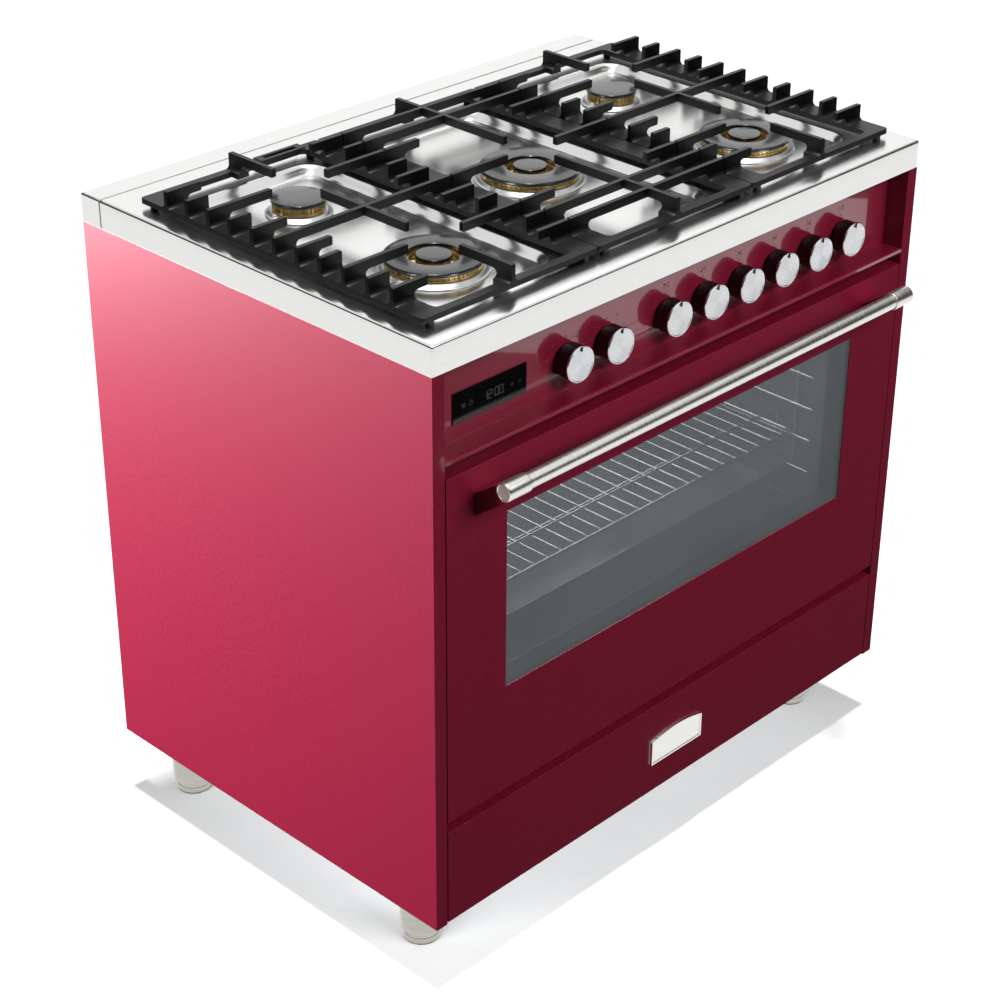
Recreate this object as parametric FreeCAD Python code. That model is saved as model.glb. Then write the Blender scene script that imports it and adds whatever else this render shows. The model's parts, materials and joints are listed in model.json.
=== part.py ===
import FreeCAD, Part
import math
import os

os.makedirs("parts", exist_ok=True)

# Freestanding range, 90 cm class: gas hob on top, electric oven below, storage drawer at the bottom.
# All sizes in millimetres. While modelling, x runs to the right, y from the front plane to the rear
# and z up from the floor. The origin is then moved to the middle of the footprint, on the floor.

V = FreeCAD.Vector
X, Y, Z = V(1, 0, 0), V(0, 1, 0), V(0, 0, 1)

# ---- driving dimensions: body ------------------------------------------------------------------
body_width = 900.0
body_depth = 620.8
foot_height = 97.5            # floor to the bottom edge of the side panels
sheet = 1.5                   # body sheet steel
flange_width = 18.8           # front return of a side panel
seam = 0.3                    # gap between fixed neighbours
door_gap = 1.5                # gap beside the door and the drawer
service_depth = 34.8          # open space behind the back panel, for the gas and mains connections

# rows of the front, from the bottom edge of the side panels upwards
drawer_lift = 2.5
drawer_height = 137.5
drawer_door_gap = 15.0
door_height = 476.0
vent_gap = 16.5               # cooling air outlet over the door
lip_height = 5.0
panel_height = 112.7          # visible height of the control panel
apron_height = 37.3           # hob edge

z_body = foot_height
drawer_z0 = z_body + drawer_lift
drawer_z1 = drawer_z0 + drawer_height
door_z0 = drawer_z1 + drawer_door_gap
door_z1 = door_z0 + door_height
lip_z0 = door_z1 + vent_gap
ledge_z = lip_z0 + lip_height
apron_z = ledge_z + panel_height
hob_z = apron_z + apron_height

half_w = body_width / 2
skin_x = half_w - sheet                      # inner face of a side skin
lip_x = half_w - flange_width                # inner edge of a front flange
door_x = lip_x - door_gap                    # half width of the door and of the drawer front
back_y = body_depth - service_depth          # front face of the back panel

# ---- driving dimensions: hob -------------------------------------------------------------------
trim_gap = 0.6
trim_depth = 36.1                            # rear trim strip, front to back
hob_depth = body_depth - trim_depth
grate_pitch = 285.5
well_half_x = 110.0
well_front = 70.0                            # hob front edge to the well
well_rear_margin = 82.0                      # well to the rear edge of the hob
well_corner = 30.0
well_depth = 10.0
well_slope = 12.0                            # run of the sloped well wall
edge_round = 3.0

# ---- driving dimensions: burners ---------------------------------------------------------------
small_r = 35.0                               # cap radius of a small burner
dual_r = 60.0                                # cap radius of a front two-ring burner
centre_r = 65.0                              # cap radius of the centre two-ring burner
ring_hole_r = 32.0                           # opening of the ring cap
inner_cap_r = 22.0
front_burner_y = 166.0
rear_burner_y = 402.5
centre_burner_y = 284.3
cup_drop = 30.0                              # burner cup bottom below the hob
cup_flange = 10.0
cup_wall = 3.0
cap_height = 5.0
cap_edge_r = 1.5
cap_overhang = 2.0                           # cap edge beyond its flame spreader
small_ports = 24                             # flame ports of a small burner
ring_ports = 36                              # flame ports of a two-ring burner's outer ring
inner_ports = 16
spreader_sink = 4.0                          # spreader seats under the hob surface
small_spreader_height = 11.0
dual_spreader_height = 7.0
inner_spreader_height = 8.0
pin_r = 2.2
pin_out = 7.0                                # spark pin axis outside the cup

# ---- driving dimensions: grates ----------------------------------------------------------------
grate_half_x = 142.0
grate_front = 37.0
grate_depth = 493.0
grate_lift = 6.0                             # rail underside over the hob
rail_height = 7.0
rail_width = 12.0                            # front and rear rail
side_rail_width = 32.0                       # side rails, as wide as the short fins are long
fin_thick = 6.0
fin_top = 34.4                               # pan height over the hob
fin_depth = 11.5                             # height of a finger where it hangs free
fin_flare = 6.0                              # radius where a fin meets its rail
fin_rows = 11
row_pitch = 39.4
long_tip = 44.0                              # free space from a burner axis to a finger tip
medium_fin = 53.0
centre_fin = 58.0
loop_offset = 77.0                           # left grate's middle to the middle of its loop
loop_half = 36.5                             # lifting loop behind the left grate
loop_y1 = 535.0
grate_foot_r = 5.0

# ---- driving dimensions: control panel ---------------------------------------------------------
panel_recess = 31.0
knob_rise = 42.0                             # knob axes over the ledge
knob_r = 22.0
knob_face_r = 23.3
knob_face_thick = 3.0
knob_front = 5.5                             # knob face to the front plane
knob_gap = 4.0                               # knob to panel
push_travel = 3.0
knob_bore_depth = 12.0
stem_length = 16.0                           # oven knob's own stem into its switch
spindle_y1 = 74.0                            # inner end of a tap spindle
knob_pitch = 70.4
oven_knob_x = (-203.0, -132.0)
first_gas_knob_x = -24.3
gas_knobs = 6
spindle_r = 3.0
turning_fit = 0.05                           # radial clearance of shafts that turn
clock_x = -330.0
clock_width = 120.0
clock_height = 39.0

# ---- driving dimensions: door ------------------------------------------------------------------
door_depth = 36.0
window_half_x = 331.0
window_z0 = 152.5                            # window bottom over the door bottom
window_height = 245.0
glass_thick = 4.0
glass_lap = 14.0                             # glass behind the window edge
inner_glass_lap = 20.0
liner_depth = 14.0
seal_gap = 8.0                               # door liner to the oven front
gasket_drop = 6.5                            # seal below the opening, clear of the swinging door
pivot_y = 18.0
pivot_rise = 8.0                             # hinge pin over the door bottom
pin_radius = 5.0
ear_thick = 5.0
ear_half = 11.0
ear_clear = 3.0
hinge_inset = 20.0                           # door side to the hinge ear
strap_thick = 6.0
bar_r = 10.0
ferrule_r = 12.0
ferrule_length = 36.0
handle_half = 385.0
handle_out = 45.5                            # bar axis in front of the door
handle_drop = 16.0                           # bar axis under the door top
arm_rise = 36.0                              # how much the arm climbs from the door to the bar
arm_thick = 30.0

# ---- driving dimensions: oven ------------------------------------------------------------------
oven_half_x = 345.0
oven_floor_rise = 23.0                       # oven floor over the door bottom
oven_height = 400.0
oven_depth = 456.0
insulation = 24.0
wire_r = 2.5
guide_levels = 6
guide_rise = 47.0                            # oven floor to the lowest guide
guide_pitch = 49.0
guide_front = 14.0                           # oven front to the guides and to the rack
guide_rear = 44.0                            # rear wall to the guides, room for the fan cover
rack_front = 46.0
guard_rise = 29.0                            # rack's rim to the guard bar over its front
guide_inset = 9.0                            # side wall to the axis of a support wire
rack_level = 3
tray_level = 2
rack_clear = 0.5
tray_depth = 24.0
tray_sheet = 1.2
fan_r = 75.0
fan_depth = 18.0
fan_cover_half = 130.0
fan_cover_depth = 32.0
fan_cover_clear = 6.0                        # front of the cover to the fan blades
shaft_r = 4.0
motor_r = 40.0
motor_length = 55.0
element_r = 3.2
tail_share = 0.8                             # ring element's tails, as a share of its own radius
lamp_r = 24.0
lamp_lap = 4.0                               # lamp lens over the edge of its hole
lamp_inset = 60.0                            # lamp axis from the side wall and from the roof

# ---- driving dimensions: drawer and legs -------------------------------------------------------
drawer_front_depth = 20.0
drawer_box_half = 345.0
drawer_box_depth = 480.0
drawer_box_height = 95.0
drawer_box_rise = 14.0                       # drawer box over the drawer front's lower edge
slide_gap = 1.0
runner_rise = 44.0                           # drawer box bottom to the runner
runner_height = 20.0
runner_width = 6.0
badge_half = 51.0
badge_height = 44.0
badge_rise = 44.5
badge_thick = 3.0
leg_x = 385.0
leg_front_y = 95.7
leg_rear_y = 560.0
leg_top_r = 31.0
leg_bottom_r = 28.0
leg_bottom_z = 16.0
stud_r = 5.0
foot_r = 24.3
foot_sleeve = 40.0
foot_screw_r = 8.0
foot_travel = 20.0
foot_fit = 0.35

# ---- gas side ----------------------------------------------------------------------------------
tap_width = 26.0
tap_half_z = 10.0
tap_y0 = 36.0
tap_y1 = 92.0
manifold = 18.0
supply_r = 7.5
inlet_r = 10.5                               # G1/2 male thread
inlet_length = 24.0
pipe_r = 3.0
pipe_bend = 10.0
pipe_level_pitch = 8.0

inlet_x = 400.0
gland_x = -380.0                             # bore for a mains cable gland in the back panel
gland_rise = 60.0
gland_r = 10.5

# ---- positions that follow ---------------------------------------------------------------------
return_y = panel_recess + 2 * sheet          # rear end of the side panels' front returns
handle_reach = handle_out + ferrule_r
y_origin = (body_depth - handle_reach) / 2
oven_y0 = door_depth + seal_gap              # oven front face
oven_y1 = oven_y0 + oven_depth
oven_z0 = door_z0 + oven_floor_rise
oven_z1 = oven_z0 + oven_height
fan_z = (oven_z0 + oven_z1) / 2
fan_y0 = oven_y1 - fan_cover_depth + fan_cover_clear
guide_y0 = oven_y0 + guide_front
guide_y1 = oven_y1 - guide_rear
guide_x = oven_half_x - guide_inset
rack_half = guide_x + 1.0
rack_y0 = oven_y0 + rack_front
rack_y1 = guide_y1 - 6.0
lamp_x = -oven_half_x + lamp_inset
lamp_z = oven_z1 - lamp_inset
knob_z = ledge_z + knob_rise
knob_y1 = panel_recess - knob_gap
clock_z = knob_z - 1.0
panel_half = lip_x - seam
gas_knob_x = [first_gas_knob_x + knob_pitch * i for i in range(gas_knobs)]
column_x = [-grate_pitch, 0.0, grate_pitch]
box_z0 = drawer_z0 + drawer_box_rise
runner_z0 = box_z0 + runner_rise
pivot_z = door_z0 + pivot_rise
bar_z = door_z1 - handle_drop
ear_x1 = door_x - hinge_inset
ear_x0 = ear_x1 - ear_thick
liner_y0 = door_depth - liner_depth
well_z = hob_z - well_depth
spreader_z = hob_z - spreader_sink
grate_mid_y = grate_front + grate_depth / 2
fin_ys = [grate_mid_y + row_pitch * (fin_rows // 2 - i) for i in range(fin_rows)]
small_burners = [(-grate_pitch, rear_burner_y), (grate_pitch, rear_burner_y)]
dual_burners = [(-grate_pitch, front_burner_y, dual_r), (grate_pitch, front_burner_y, dual_r),
                (0.0, centre_burner_y, centre_r)]


# ---- helpers -----------------------------------------------------------------------------------
def box(x0, x1, y0, y1, z0, z1):
    return Part.makeBox(x1 - x0, y1 - y0, z1 - z0, V(x0, y0, z0))


def sbox(half, y0, y1, z0, z1):
    """Box that is symmetric about the middle plane."""
    return box(-half, half, y0, y1, z0, z1)


def rod(x, y, z, axis, r, length):
    return Part.makeCylinder(r, length, V(x, y, z), axis)


def ring(x, y, z, axis, r_out, r_in, length):
    return rod(x, y, z, axis, r_out, length).cut(rod(x, y, z, axis, r_in, length))


def fuse(shapes):
    return shapes[0].multiFuse(shapes[1:]).removeSplitter() if len(shapes) > 1 else shapes[0]


def mirror_x(shape):
    return shape.mirror(V(0, 0, 0), X)


def both_sides(shape):
    return [shape, mirror_x(shape)]


def outline(points, closed=True):
    return Part.makePolygon(points + points[:1] if closed else points)


def prism(points, direction):
    """Closed outline of points, extruded along a vector."""
    return Part.Face(outline(points)).extrude(direction)


def rounded_rect(x0, x1, y0, y1, z, r):
    """Flat wire, a rectangle with round corners."""
    k = r * (1 - math.sqrt(0.5))
    corners = ((x1 - r, y0, x1 - k, y0 + k, x1, y0 + r), (x1, y1 - r, x1 - k, y1 - k, x1 - r, y1),
               (x0 + r, y1, x0 + k, y1 - k, x0, y1 - r), (x0, y0 + r, x0 + k, y0 + k, x0 + r, y0))
    edges = []
    for i, (ax, ay, mx, my, bx, by) in enumerate(corners):
        nx, ny = corners[(i + 1) % 4][:2]
        edges.append(Part.Arc(V(ax, ay, z), V(mx, my, z), V(bx, by, z)).toShape())
        edges.append(Part.LineSegment(V(bx, by, z), V(nx, ny, z)).toShape())
    return Part.Wire(edges)


def tangent_arc(a, b, c, bend):
    """First, middle and last point of the arc that rounds corner b of the path a, b, c."""
    before = (b - a).normalize()
    after = (c - b).normalize()
    half_turn = before.getAngle(after) / 2
    set_back = bend * math.tan(half_turn)
    to_centre = (after - before).normalize()
    middle = b + to_centre * (bend / math.cos(half_turn) - bend)
    return b - before * set_back, middle, b + after * set_back


def rounded_face(corners):
    """Flat face inside an outline of (point, corner radius) pairs; radius 0 keeps a sharp corner."""
    ring_points = []
    edges = []
    count = len(corners)
    for i, (b, bend) in enumerate(corners):
        if bend:
            arc = tangent_arc(corners[i - 1][0], b, corners[(i + 1) % count][0], bend)
            ring_points.append((arc[0], arc[2]))
            edges.append(Part.Arc(*arc).toShape())
        else:
            ring_points.append((b, b))
    for i, (first, last) in enumerate(ring_points):
        following = ring_points[(i + 1) % count][0]
        edges.append(Part.LineSegment(last, following).toShape())
    return Part.Face(Part.Wire(Part.sortEdges(edges)[0]))


def bent_rod(points, bend, r):
    """Round rod along straight runs that are joined by tangent arcs of one bend radius."""
    edges = []
    start = points[0]
    for a, b, c in zip(points, points[1:], points[2:]):
        first, middle, last = tangent_arc(a, b, c, bend)
        edges.append(Part.LineSegment(start, first).toShape())
        edges.append(Part.Arc(first, middle, last).toShape())
        start = last
    edges.append(Part.LineSegment(start, points[-1]).toShape())
    path = Part.Wire(edges)
    section = Part.Wire(Part.makeCircle(r, points[0], points[1] - points[0]))
    return path.makePipeShell([section], True, False)


def save(name, solids):
    """Write one sub-part, moved to the model's origin."""
    shape = Part.makeCompound(solids) if len(solids) > 1 else solids[0]
    shape = shape.copy()
    shape.translate(V(0, -y_origin, 0))
    shape.exportStep(os.path.join("parts", name + ".step"))
    print(name, len(shape.Solids), "valid" if shape.isValid() else "NOT VALID")


# ---- body --------------------------------------------------------------------------------------
def side_panel():
    """Right side skin with a front flange, its return lip, a rear flange and a foot flange."""
    rear_flange = 20.0
    foot_flange = 25.0
    return fuse([
        box(skin_x, half_w, 0, body_depth, z_body, apron_z),
        box(lip_x, half_w, 0, sheet, z_body, apron_z),
        box(lip_x, lip_x + sheet, 0, return_y, z_body, apron_z),
        box(half_w - rear_flange, half_w, body_depth - sheet, body_depth, z_body, apron_z),
        box(half_w - foot_flange, half_w, return_y, body_depth, z_body, z_body + sheet)])


def base_pan():
    """Floor sheet on the foot flanges, with an upturned front edge and holes for the leg studs."""
    front_y = drawer_front_depth + 6.0
    upturn = 9.0
    wide_y = return_y + seam
    narrow = lip_x - seam
    z0 = z_body + sheet
    pan = fuse([sbox(skin_x - seam, wide_y, back_y - seam, z0, z0 + sheet),
                sbox(narrow, front_y, wide_y, z0, z0 + sheet),
                sbox(narrow, front_y, front_y + sheet, z0, z0 + upturn)])
    for x in (-leg_x, leg_x):
        for y in (leg_front_y, leg_rear_y):
            pan = pan.cut(rod(x, y, z0, Z, stud_r + seam, sheet))
    return pan


def back_panel():
    """Rear cover with cooling slots, the hole of the gas pipe and the bore for the mains gland."""
    half = skin_x - seam
    panel = sbox(half, back_y, back_y + sheet, z_body + 2 * sheet, hob_z - sheet - seam)
    slots = []
    slot_half, slot_height, slot_pitch = 60.0, 5.0, 14.0
    slot_x, first_slot, slot_rows = 200.0, 45.0, 8
    for i in range(slot_rows):
        for x in (-slot_x, slot_x):
            z = oven_z1 + first_slot + slot_pitch * i
            slots.append(box(x - slot_half, x + slot_half, back_y, back_y + sheet, z, z + slot_height))
    slots.append(rod(inlet_x, back_y, knob_z, Y, supply_r + 1.0, sheet))
    slots.append(rod(gland_x, back_y, z_body + gland_rise, Y, gland_r, sheet))
    return panel.cut(slots)


def well_solid(x, grow):
    """Solid of one pressed well with sloped walls; grow adds the sheet all round."""
    x0, x1 = x - well_half_x, x + well_half_x
    y0, y1 = well_front, hob_depth - well_rear_margin
    top = rounded_rect(x0 - grow, x1 + grow, y0 - grow, y1 + grow, hob_z, well_corner + grow)
    s = well_slope
    z = well_z - grow
    low = rounded_rect(x0 + s - grow, x1 - s + grow, y0 + s - grow, y1 - s + grow, z,
                       well_corner - s + grow)
    return Part.makeLoft([top, low], True, True)


def cooktop():
    """Pressed steel hob: shell with an apron all round, three wells and the burner holes."""
    block = sbox(half_w, 0, hob_depth, apron_z, hob_z)
    top_edges = [e for e in block.Edges if all(abs(v.Z - hob_z) < 1e-6 for v in e.Vertexes)]
    upright = [e for e in block.Edges if abs(e.Vertexes[0].Z - e.Vertexes[1].Z) > 1.0
               and e.Vertexes[0].Y < 1.0]
    shell = block.makeFillet(edge_round, top_edges + upright)
    inner = sbox(half_w - sheet, sheet, hob_depth - sheet, apron_z, hob_z - sheet)
    inner_up = [e for e in inner.Edges if abs(e.Vertexes[0].Z - e.Vertexes[1].Z) > 1.0
                and e.Vertexes[0].Y < 2 * sheet]
    shell = shell.cut(inner.makeFillet(edge_round - sheet / 2, inner_up))
    for x in column_x:
        shell = shell.fuse(well_solid(x, sheet)).cut(well_solid(x, 0.0))
    for x, y, r in burner_cups():
        shell = shell.cut(rod(x, y, well_z - 2 * sheet, Z, r + seam, 3 * sheet))
    return shell


def rear_trim():
    """Strip behind the hob: top, two sides and a rear apron, open below and in front."""
    y0 = hob_depth + trim_gap
    outer = sbox(half_w, y0, body_depth, apron_z, hob_z)
    edges = [e for e in outer.Edges if all(abs(v.Z - hob_z) < 1e-6 for v in e.Vertexes)
             and max(v.Y for v in e.Vertexes) > y0 + 1.0]
    outer = outer.makeFillet(edge_round, edges)
    return outer.cut(sbox(half_w - sheet, y0, body_depth - sheet, apron_z, hob_z - sheet))


# ---- burners -----------------------------------------------------------------------------------
def burner_cups():
    """Place and cup radius of all five burners."""
    small = [(x, y, small_r - cup_wall) for x, y in small_burners]
    return small + [(x, y, r - cup_wall) for x, y, r in dual_burners]


def burner_bases():
    """Cast cups: a body through the hob hole and a flange that seals on the well."""
    bases = []
    for x, y, r in burner_cups():
        skirt = Part.makeCone(r + cup_flange, r + 1.0, spreader_z - well_z, V(x, y, well_z), Z)
        cup = fuse([rod(x, y, hob_z - cup_drop, Z, r, spreader_z - hob_z + cup_drop), skirt])
        hollow = rod(x, y, hob_z - cup_drop + cup_wall, Z, r - cup_wall,
                     spreader_z - hob_z + cup_drop - cup_wall)
        post = rod(x, y, hob_z - cup_drop, Z, inner_cap_r - cup_wall, spreader_z - hob_z + cup_drop)
        cup = fuse([cup.cut(hollow), post]) if r > ring_hole_r else cup.cut(hollow)
        for side in (-1, 1):
            cup = cup.cut(rod(x + side * (r + pin_out), y, well_z - 1.0, Z, pin_r + seam, well_depth))
        bases.append(cup)
    return bases


def pins():
    """Ceramic spark pin on one side of each burner and the flame sensor on the other."""
    pins_made = []
    for x, y, r in burner_cups():
        for side in (-1, 1):
            px = x + side * (r + pin_out)
            pins_made.append(rod(px, y, well_z, Z, pin_r, hob_z - 1.0 - well_z))
    return pins_made


def slotted_ring(x, y, z, r_out, r_in, height, slots):
    """Flame ring: an annulus with narrow radial ports cut in its upper half."""
    body = ring(x, y, z, Z, r_out, r_in, height)
    cuts = []
    port_width, port_depth = 2.0, 5.0
    for i in range(slots):
        port = box(r_out - port_depth, r_out + 1.0, -port_width / 2, port_width / 2,
                   height / 2, height - 1.0)
        port.rotate(V(0, 0, 0), Z, 360.0 * i / slots)
        port.translate(V(x, y, z))
        cuts.append(port)
    return body.cut(cuts)


def small_spreaders():
    wall = 10.0
    outer = small_r - cap_overhang
    return [slotted_ring(x, y, spreader_z, outer, outer - wall, small_spreader_height, small_ports)
            for x, y in small_burners]


def dual_spreaders():
    """Outer flame ring and inner flame crown of each two-ring burner."""
    made = []
    throat_r = 8.0
    for x, y, r in dual_burners:
        made.append(slotted_ring(x, y, spreader_z, r - cap_overhang, ring_hole_r - cap_overhang,
                                 dual_spreader_height, ring_ports))
        made.append(slotted_ring(x, y, spreader_z, inner_cap_r - cap_overhang, throat_r,
                                 inner_spreader_height, inner_ports))
    return made


def cap(x, y, z, r, r_in=0.0):
    """Enamelled cap with a rounded upper edge, a disc or a ring."""
    disc = rod(x, y, z, Z, r, cap_height)
    top = [e for e in disc.Edges if abs(e.BoundBox.ZMin - z - cap_height) < 1e-6
           and e.BoundBox.ZLength < 1e-6]
    disc = disc.makeFillet(cap_edge_r, top)
    return disc.cut(rod(x, y, z, Z, r_in, cap_height)) if r_in else disc


def small_caps():
    return [cap(x, y, spreader_z + small_spreader_height, small_r) for x, y in small_burners]


def dual_caps():
    made = []
    for x, y, r in dual_burners:
        made.append(cap(x, y, spreader_z + dual_spreader_height, r, ring_hole_r))
        made.append(cap(x, y, spreader_z + inner_spreader_height, inner_cap_r))
    return made


# ---- grates ------------------------------------------------------------------------------------
def finger(root, tip, flip, across, along_x):
    """Plate finger: a leg on a rail at root, a rounded step, then a shallow free part to the tip.

    across is its place on the other axis and flip the direction from root to tip. A flared
    skirt joins the leg to the rail.
    """
    z_top = hob_z + fin_top
    z_rail = hob_z + grate_lift
    z_floor = z_rail + rail_height
    leg = root + flip * (side_rail_width if along_x else 2 * rail_width)
    low = across - fin_thick / 2
    step = 6.0
    nose = 2.0

    def at(u, v, z):
        return V(u, v, z) if along_x else V(v, u, z)

    thick = V(0, fin_thick, 0) if along_x else V(fin_thick, 0, 0)
    run = V(leg - root, 0, 0) if along_x else V(0, leg - root, 0)
    if abs(tip - root) > abs(leg - root) + 2 * step:
        z_free = z_top - fin_depth
        side = [(root, z_rail, 0), (root, z_top, nose), (tip, z_top, nose), (tip, z_free, nose),
                (leg, z_free, step), (leg, z_rail, 0)]
    else:
        side = [(root, z_rail, 0), (root, z_top, nose), (tip, z_top, nose), (tip, z_rail, 0)]
    plate = rounded_face([(at(u, low, z), r) for u, z, r in side]).extrude(thick)
    f = fin_flare
    k = f * (1 - math.sqrt(0.5))
    high = low + fin_thick
    skirt = [Part.Arc(at(root, low - f, z_floor), at(root, low - k, z_floor + k),
                      at(root, low, z_floor + f)).toShape(),
             Part.LineSegment(at(root, low, z_floor + f), at(root, high, z_floor + f)).toShape(),
             Part.Arc(at(root, high, z_floor + f), at(root, high + k, z_floor + k),
                      at(root, high + f, z_floor)).toShape(),
             Part.LineSegment(at(root, high + f, z_floor), at(root, high + f, z_rail)).toShape(),
             Part.LineSegment(at(root, high + f, z_rail), at(root, low - f, z_rail)).toShape(),
             Part.LineSegment(at(root, low - f, z_rail), at(root, low - f, z_floor)).toShape()]
    return plate.fuse(Part.Face(Part.Wire(skirt)).extrude(run))


def bridge(half, y, x_mid):
    """Full bar between the two side rails, made of two fingers that meet."""
    lap = 6.0
    left = finger(x_mid - half, x_mid + lap, 1, y, True)
    right = finger(x_mid + half, x_mid - lap, -1, y, True)
    return [left, right]


def grate_frame(x):
    """Outer ring of rails with four feet that stand on the flat hob beside the wells."""
    z0 = hob_z + grate_lift
    y0, y1 = grate_front, grate_front + grate_depth
    corner = 4.0
    outer = Part.Face(rounded_rect(x - grate_half_x, x + grate_half_x, y0, y1, z0, corner))
    inner = Part.Face(rounded_rect(x - grate_half_x + side_rail_width, x + grate_half_x - side_rail_width,
                                   y0 + rail_width, y1 - rail_width, z0, 2 * corner))
    parts = [outer.cut(inner).extrude(V(0, 0, rail_height))]
    inset = side_rail_width / 2
    for fx in (x - grate_half_x + inset, x + grate_half_x - inset):
        for fy in (y0 + rail_width / 2, y1 - rail_width / 2):
            parts.append(rod(fx, fy, hob_z, Z, grate_foot_r, grate_lift + 1.0))
    return parts


def side_grate(x):
    """Left or right grate: fingers round two burners and one full bar between them."""
    lengths = {0: medium_fin, 1: side_rail_width, 3: side_rail_width, 4: medium_fin}
    middle = fin_rows // 2
    parts = grate_frame(x)
    y0, y1 = grate_front, grate_front + grate_depth
    for i, y in enumerate(fin_ys):
        if i == middle:
            parts += bridge(grate_half_x, y, x)
            continue
        reach = lengths.get(i if i < middle else fin_rows - 1 - i, grate_half_x - long_tip)
        for flip in (-1, 1):
            root = x - flip * grate_half_x
            parts.append(finger(root, root + flip * reach, flip, y, True))
    parts.append(finger(y1, rear_burner_y + long_tip, -1, x, False))
    parts.append(finger(y0, front_burner_y - long_tip, 1, x, False))
    z_top = hob_z + fin_top
    spine = box(x - fin_thick / 2, x + fin_thick / 2, front_burner_y + long_tip,
                rear_burner_y - long_tip, z_top - fin_depth, z_top)
    return fuse(parts + [spine])


def left_grate():
    """Left grate with the slotted lifting loop at its rear rail."""
    grate = side_grate(-grate_pitch)
    middle_x = -grate_pitch + loop_offset
    rail_y = grate_front + grate_depth - rail_width
    z0 = hob_z + grate_lift + 1.0
    bar, slot_width = 5.0, 7.0
    loop = box(middle_x - loop_half, middle_x + loop_half, rail_y, loop_y1, z0, z0 + rail_height)
    slot = box(middle_x - loop_half + 2 * bar, middle_x + loop_half - 2 * bar, loop_y1 - bar - slot_width,
               loop_y1 - bar, hob_z, hob_z + fin_top)
    return grate.fuse(loop).cut(slot).removeSplitter()


def centre_grate():
    """Middle grate: two full bars at each end, a long spine and fingers round one burner."""
    parts = grate_frame(0.0)
    middle = fin_rows // 2
    for i, y in enumerate(fin_ys):
        row = min(i, fin_rows - 1 - i)
        if row < 2:
            parts += bridge(grate_half_x, y, 0.0)
        elif row == 2 or i == middle:
            reach = centre_fin if row == 2 else grate_half_x - long_tip
            for flip in (-1, 1):
                root = -flip * grate_half_x
                parts.append(finger(root, root + flip * reach, flip, y, True))
    parts.append(finger(grate_front + grate_depth, centre_burner_y + long_tip, -1, 0.0, False))
    parts.append(finger(grate_front, centre_burner_y - long_tip, 1, 0.0, False))
    return fuse(parts)


# ---- control panel -----------------------------------------------------------------------------
def control_panel():
    """Recessed fascia with the ledge and the front lip below it."""
    y = panel_recess
    top_lap, spindle_room, frame = 25.0, 3.0, 4.0
    plate = fuse([sbox(panel_half, y, y + sheet, ledge_z - sheet, apron_z + top_lap),
                  sbox(panel_half, 0, y + sheet, ledge_z - sheet, ledge_z),
                  sbox(panel_half, 0, sheet, lip_z0, ledge_z)])
    holes = [rod(x, y, knob_z, Y, spindle_r + spindle_room, sheet)
             for x in list(oven_knob_x) + gas_knob_x]
    holes.append(box(clock_x - clock_width / 2 + frame, clock_x + clock_width / 2 - frame, y, y + sheet,
                     clock_z - clock_height / 2 + frame, clock_z + clock_height / 2 - frame))
    return plate.cut(holes)


def oven_clock():
    """Clock glass on the fascia and the housing behind it."""
    y = panel_recess
    glass_proud, frame, housing_depth = 1.6, 4.5, 22.0
    w, h = clock_width / 2, clock_height / 2
    glass = box(clock_x - w, clock_x + w, y - glass_proud, y, clock_z - h, clock_z + h)
    housing = box(clock_x - w + frame, clock_x + w - frame, y, y + housing_depth,
                  clock_z - h + frame, clock_z + h - frame)
    return [glass, housing]


def knob(x, bore):
    """Dial face, grip body and a bore for the spindle; an oven knob has its own stem instead."""
    face = rod(x, knob_front, knob_z, Y, knob_face_r, knob_face_thick)
    rim = [e for e in face.Edges if e.BoundBox.YLength < 1e-6
           and abs(e.BoundBox.YMin - knob_front) < 1e-6]
    face = face.makeChamfer(1.0, rim)
    y0 = knob_front + knob_face_thick
    grip = rod(x, y0, knob_z, Y, knob_r, knob_y1 - y0)
    if bore:
        grip = grip.cut(rod(x, knob_y1 - knob_bore_depth, knob_z, Y, spindle_r + turning_fit,
                            knob_bore_depth))
    else:
        grip = fuse([grip, rod(x, knob_y1, knob_z, Y, spindle_r, stem_length)])
    return [face, grip]


def spindle(x):
    """Tap spindle, from inside the knob into the tap."""
    y0 = knob_y1 - knob_bore_depth + turning_fit
    return rod(x, y0, knob_z, Y, spindle_r, spindle_y1 - y0)


def gas_taps():
    made = []
    nose_r, nose_gap, end_room = 7.0, 0.5, 1.0
    for x in gas_knob_x:
        body = box(x - tap_width / 2, x + tap_width / 2, tap_y0, tap_y1,
                   knob_z - tap_half_z, knob_z + tap_half_z)
        body = fuse([body, rod(x, panel_recess + sheet + nose_gap, knob_z, Y, nose_r, tap_y0)])
        bore = rod(x, panel_recess, knob_z, Y, spindle_r + turning_fit,
                   spindle_y1 + push_travel + end_room - panel_recess)
        made.append(body.cut(bore))
    return made


def switches():
    """Rotary switches of the two oven knobs, fixed to the back of the fascia."""
    made = []
    half, depth, floor_thick = 20.0, 30.0, 4.0
    y0 = panel_recess + sheet
    for x in oven_knob_x:
        body = box(x - half, x + half, y0, y0 + depth, knob_z - half, knob_z + half)
        made.append(body.cut(rod(x, y0, knob_z, Y, spindle_r + turning_fit,
                            depth - floor_thick)))
    return made


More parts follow.
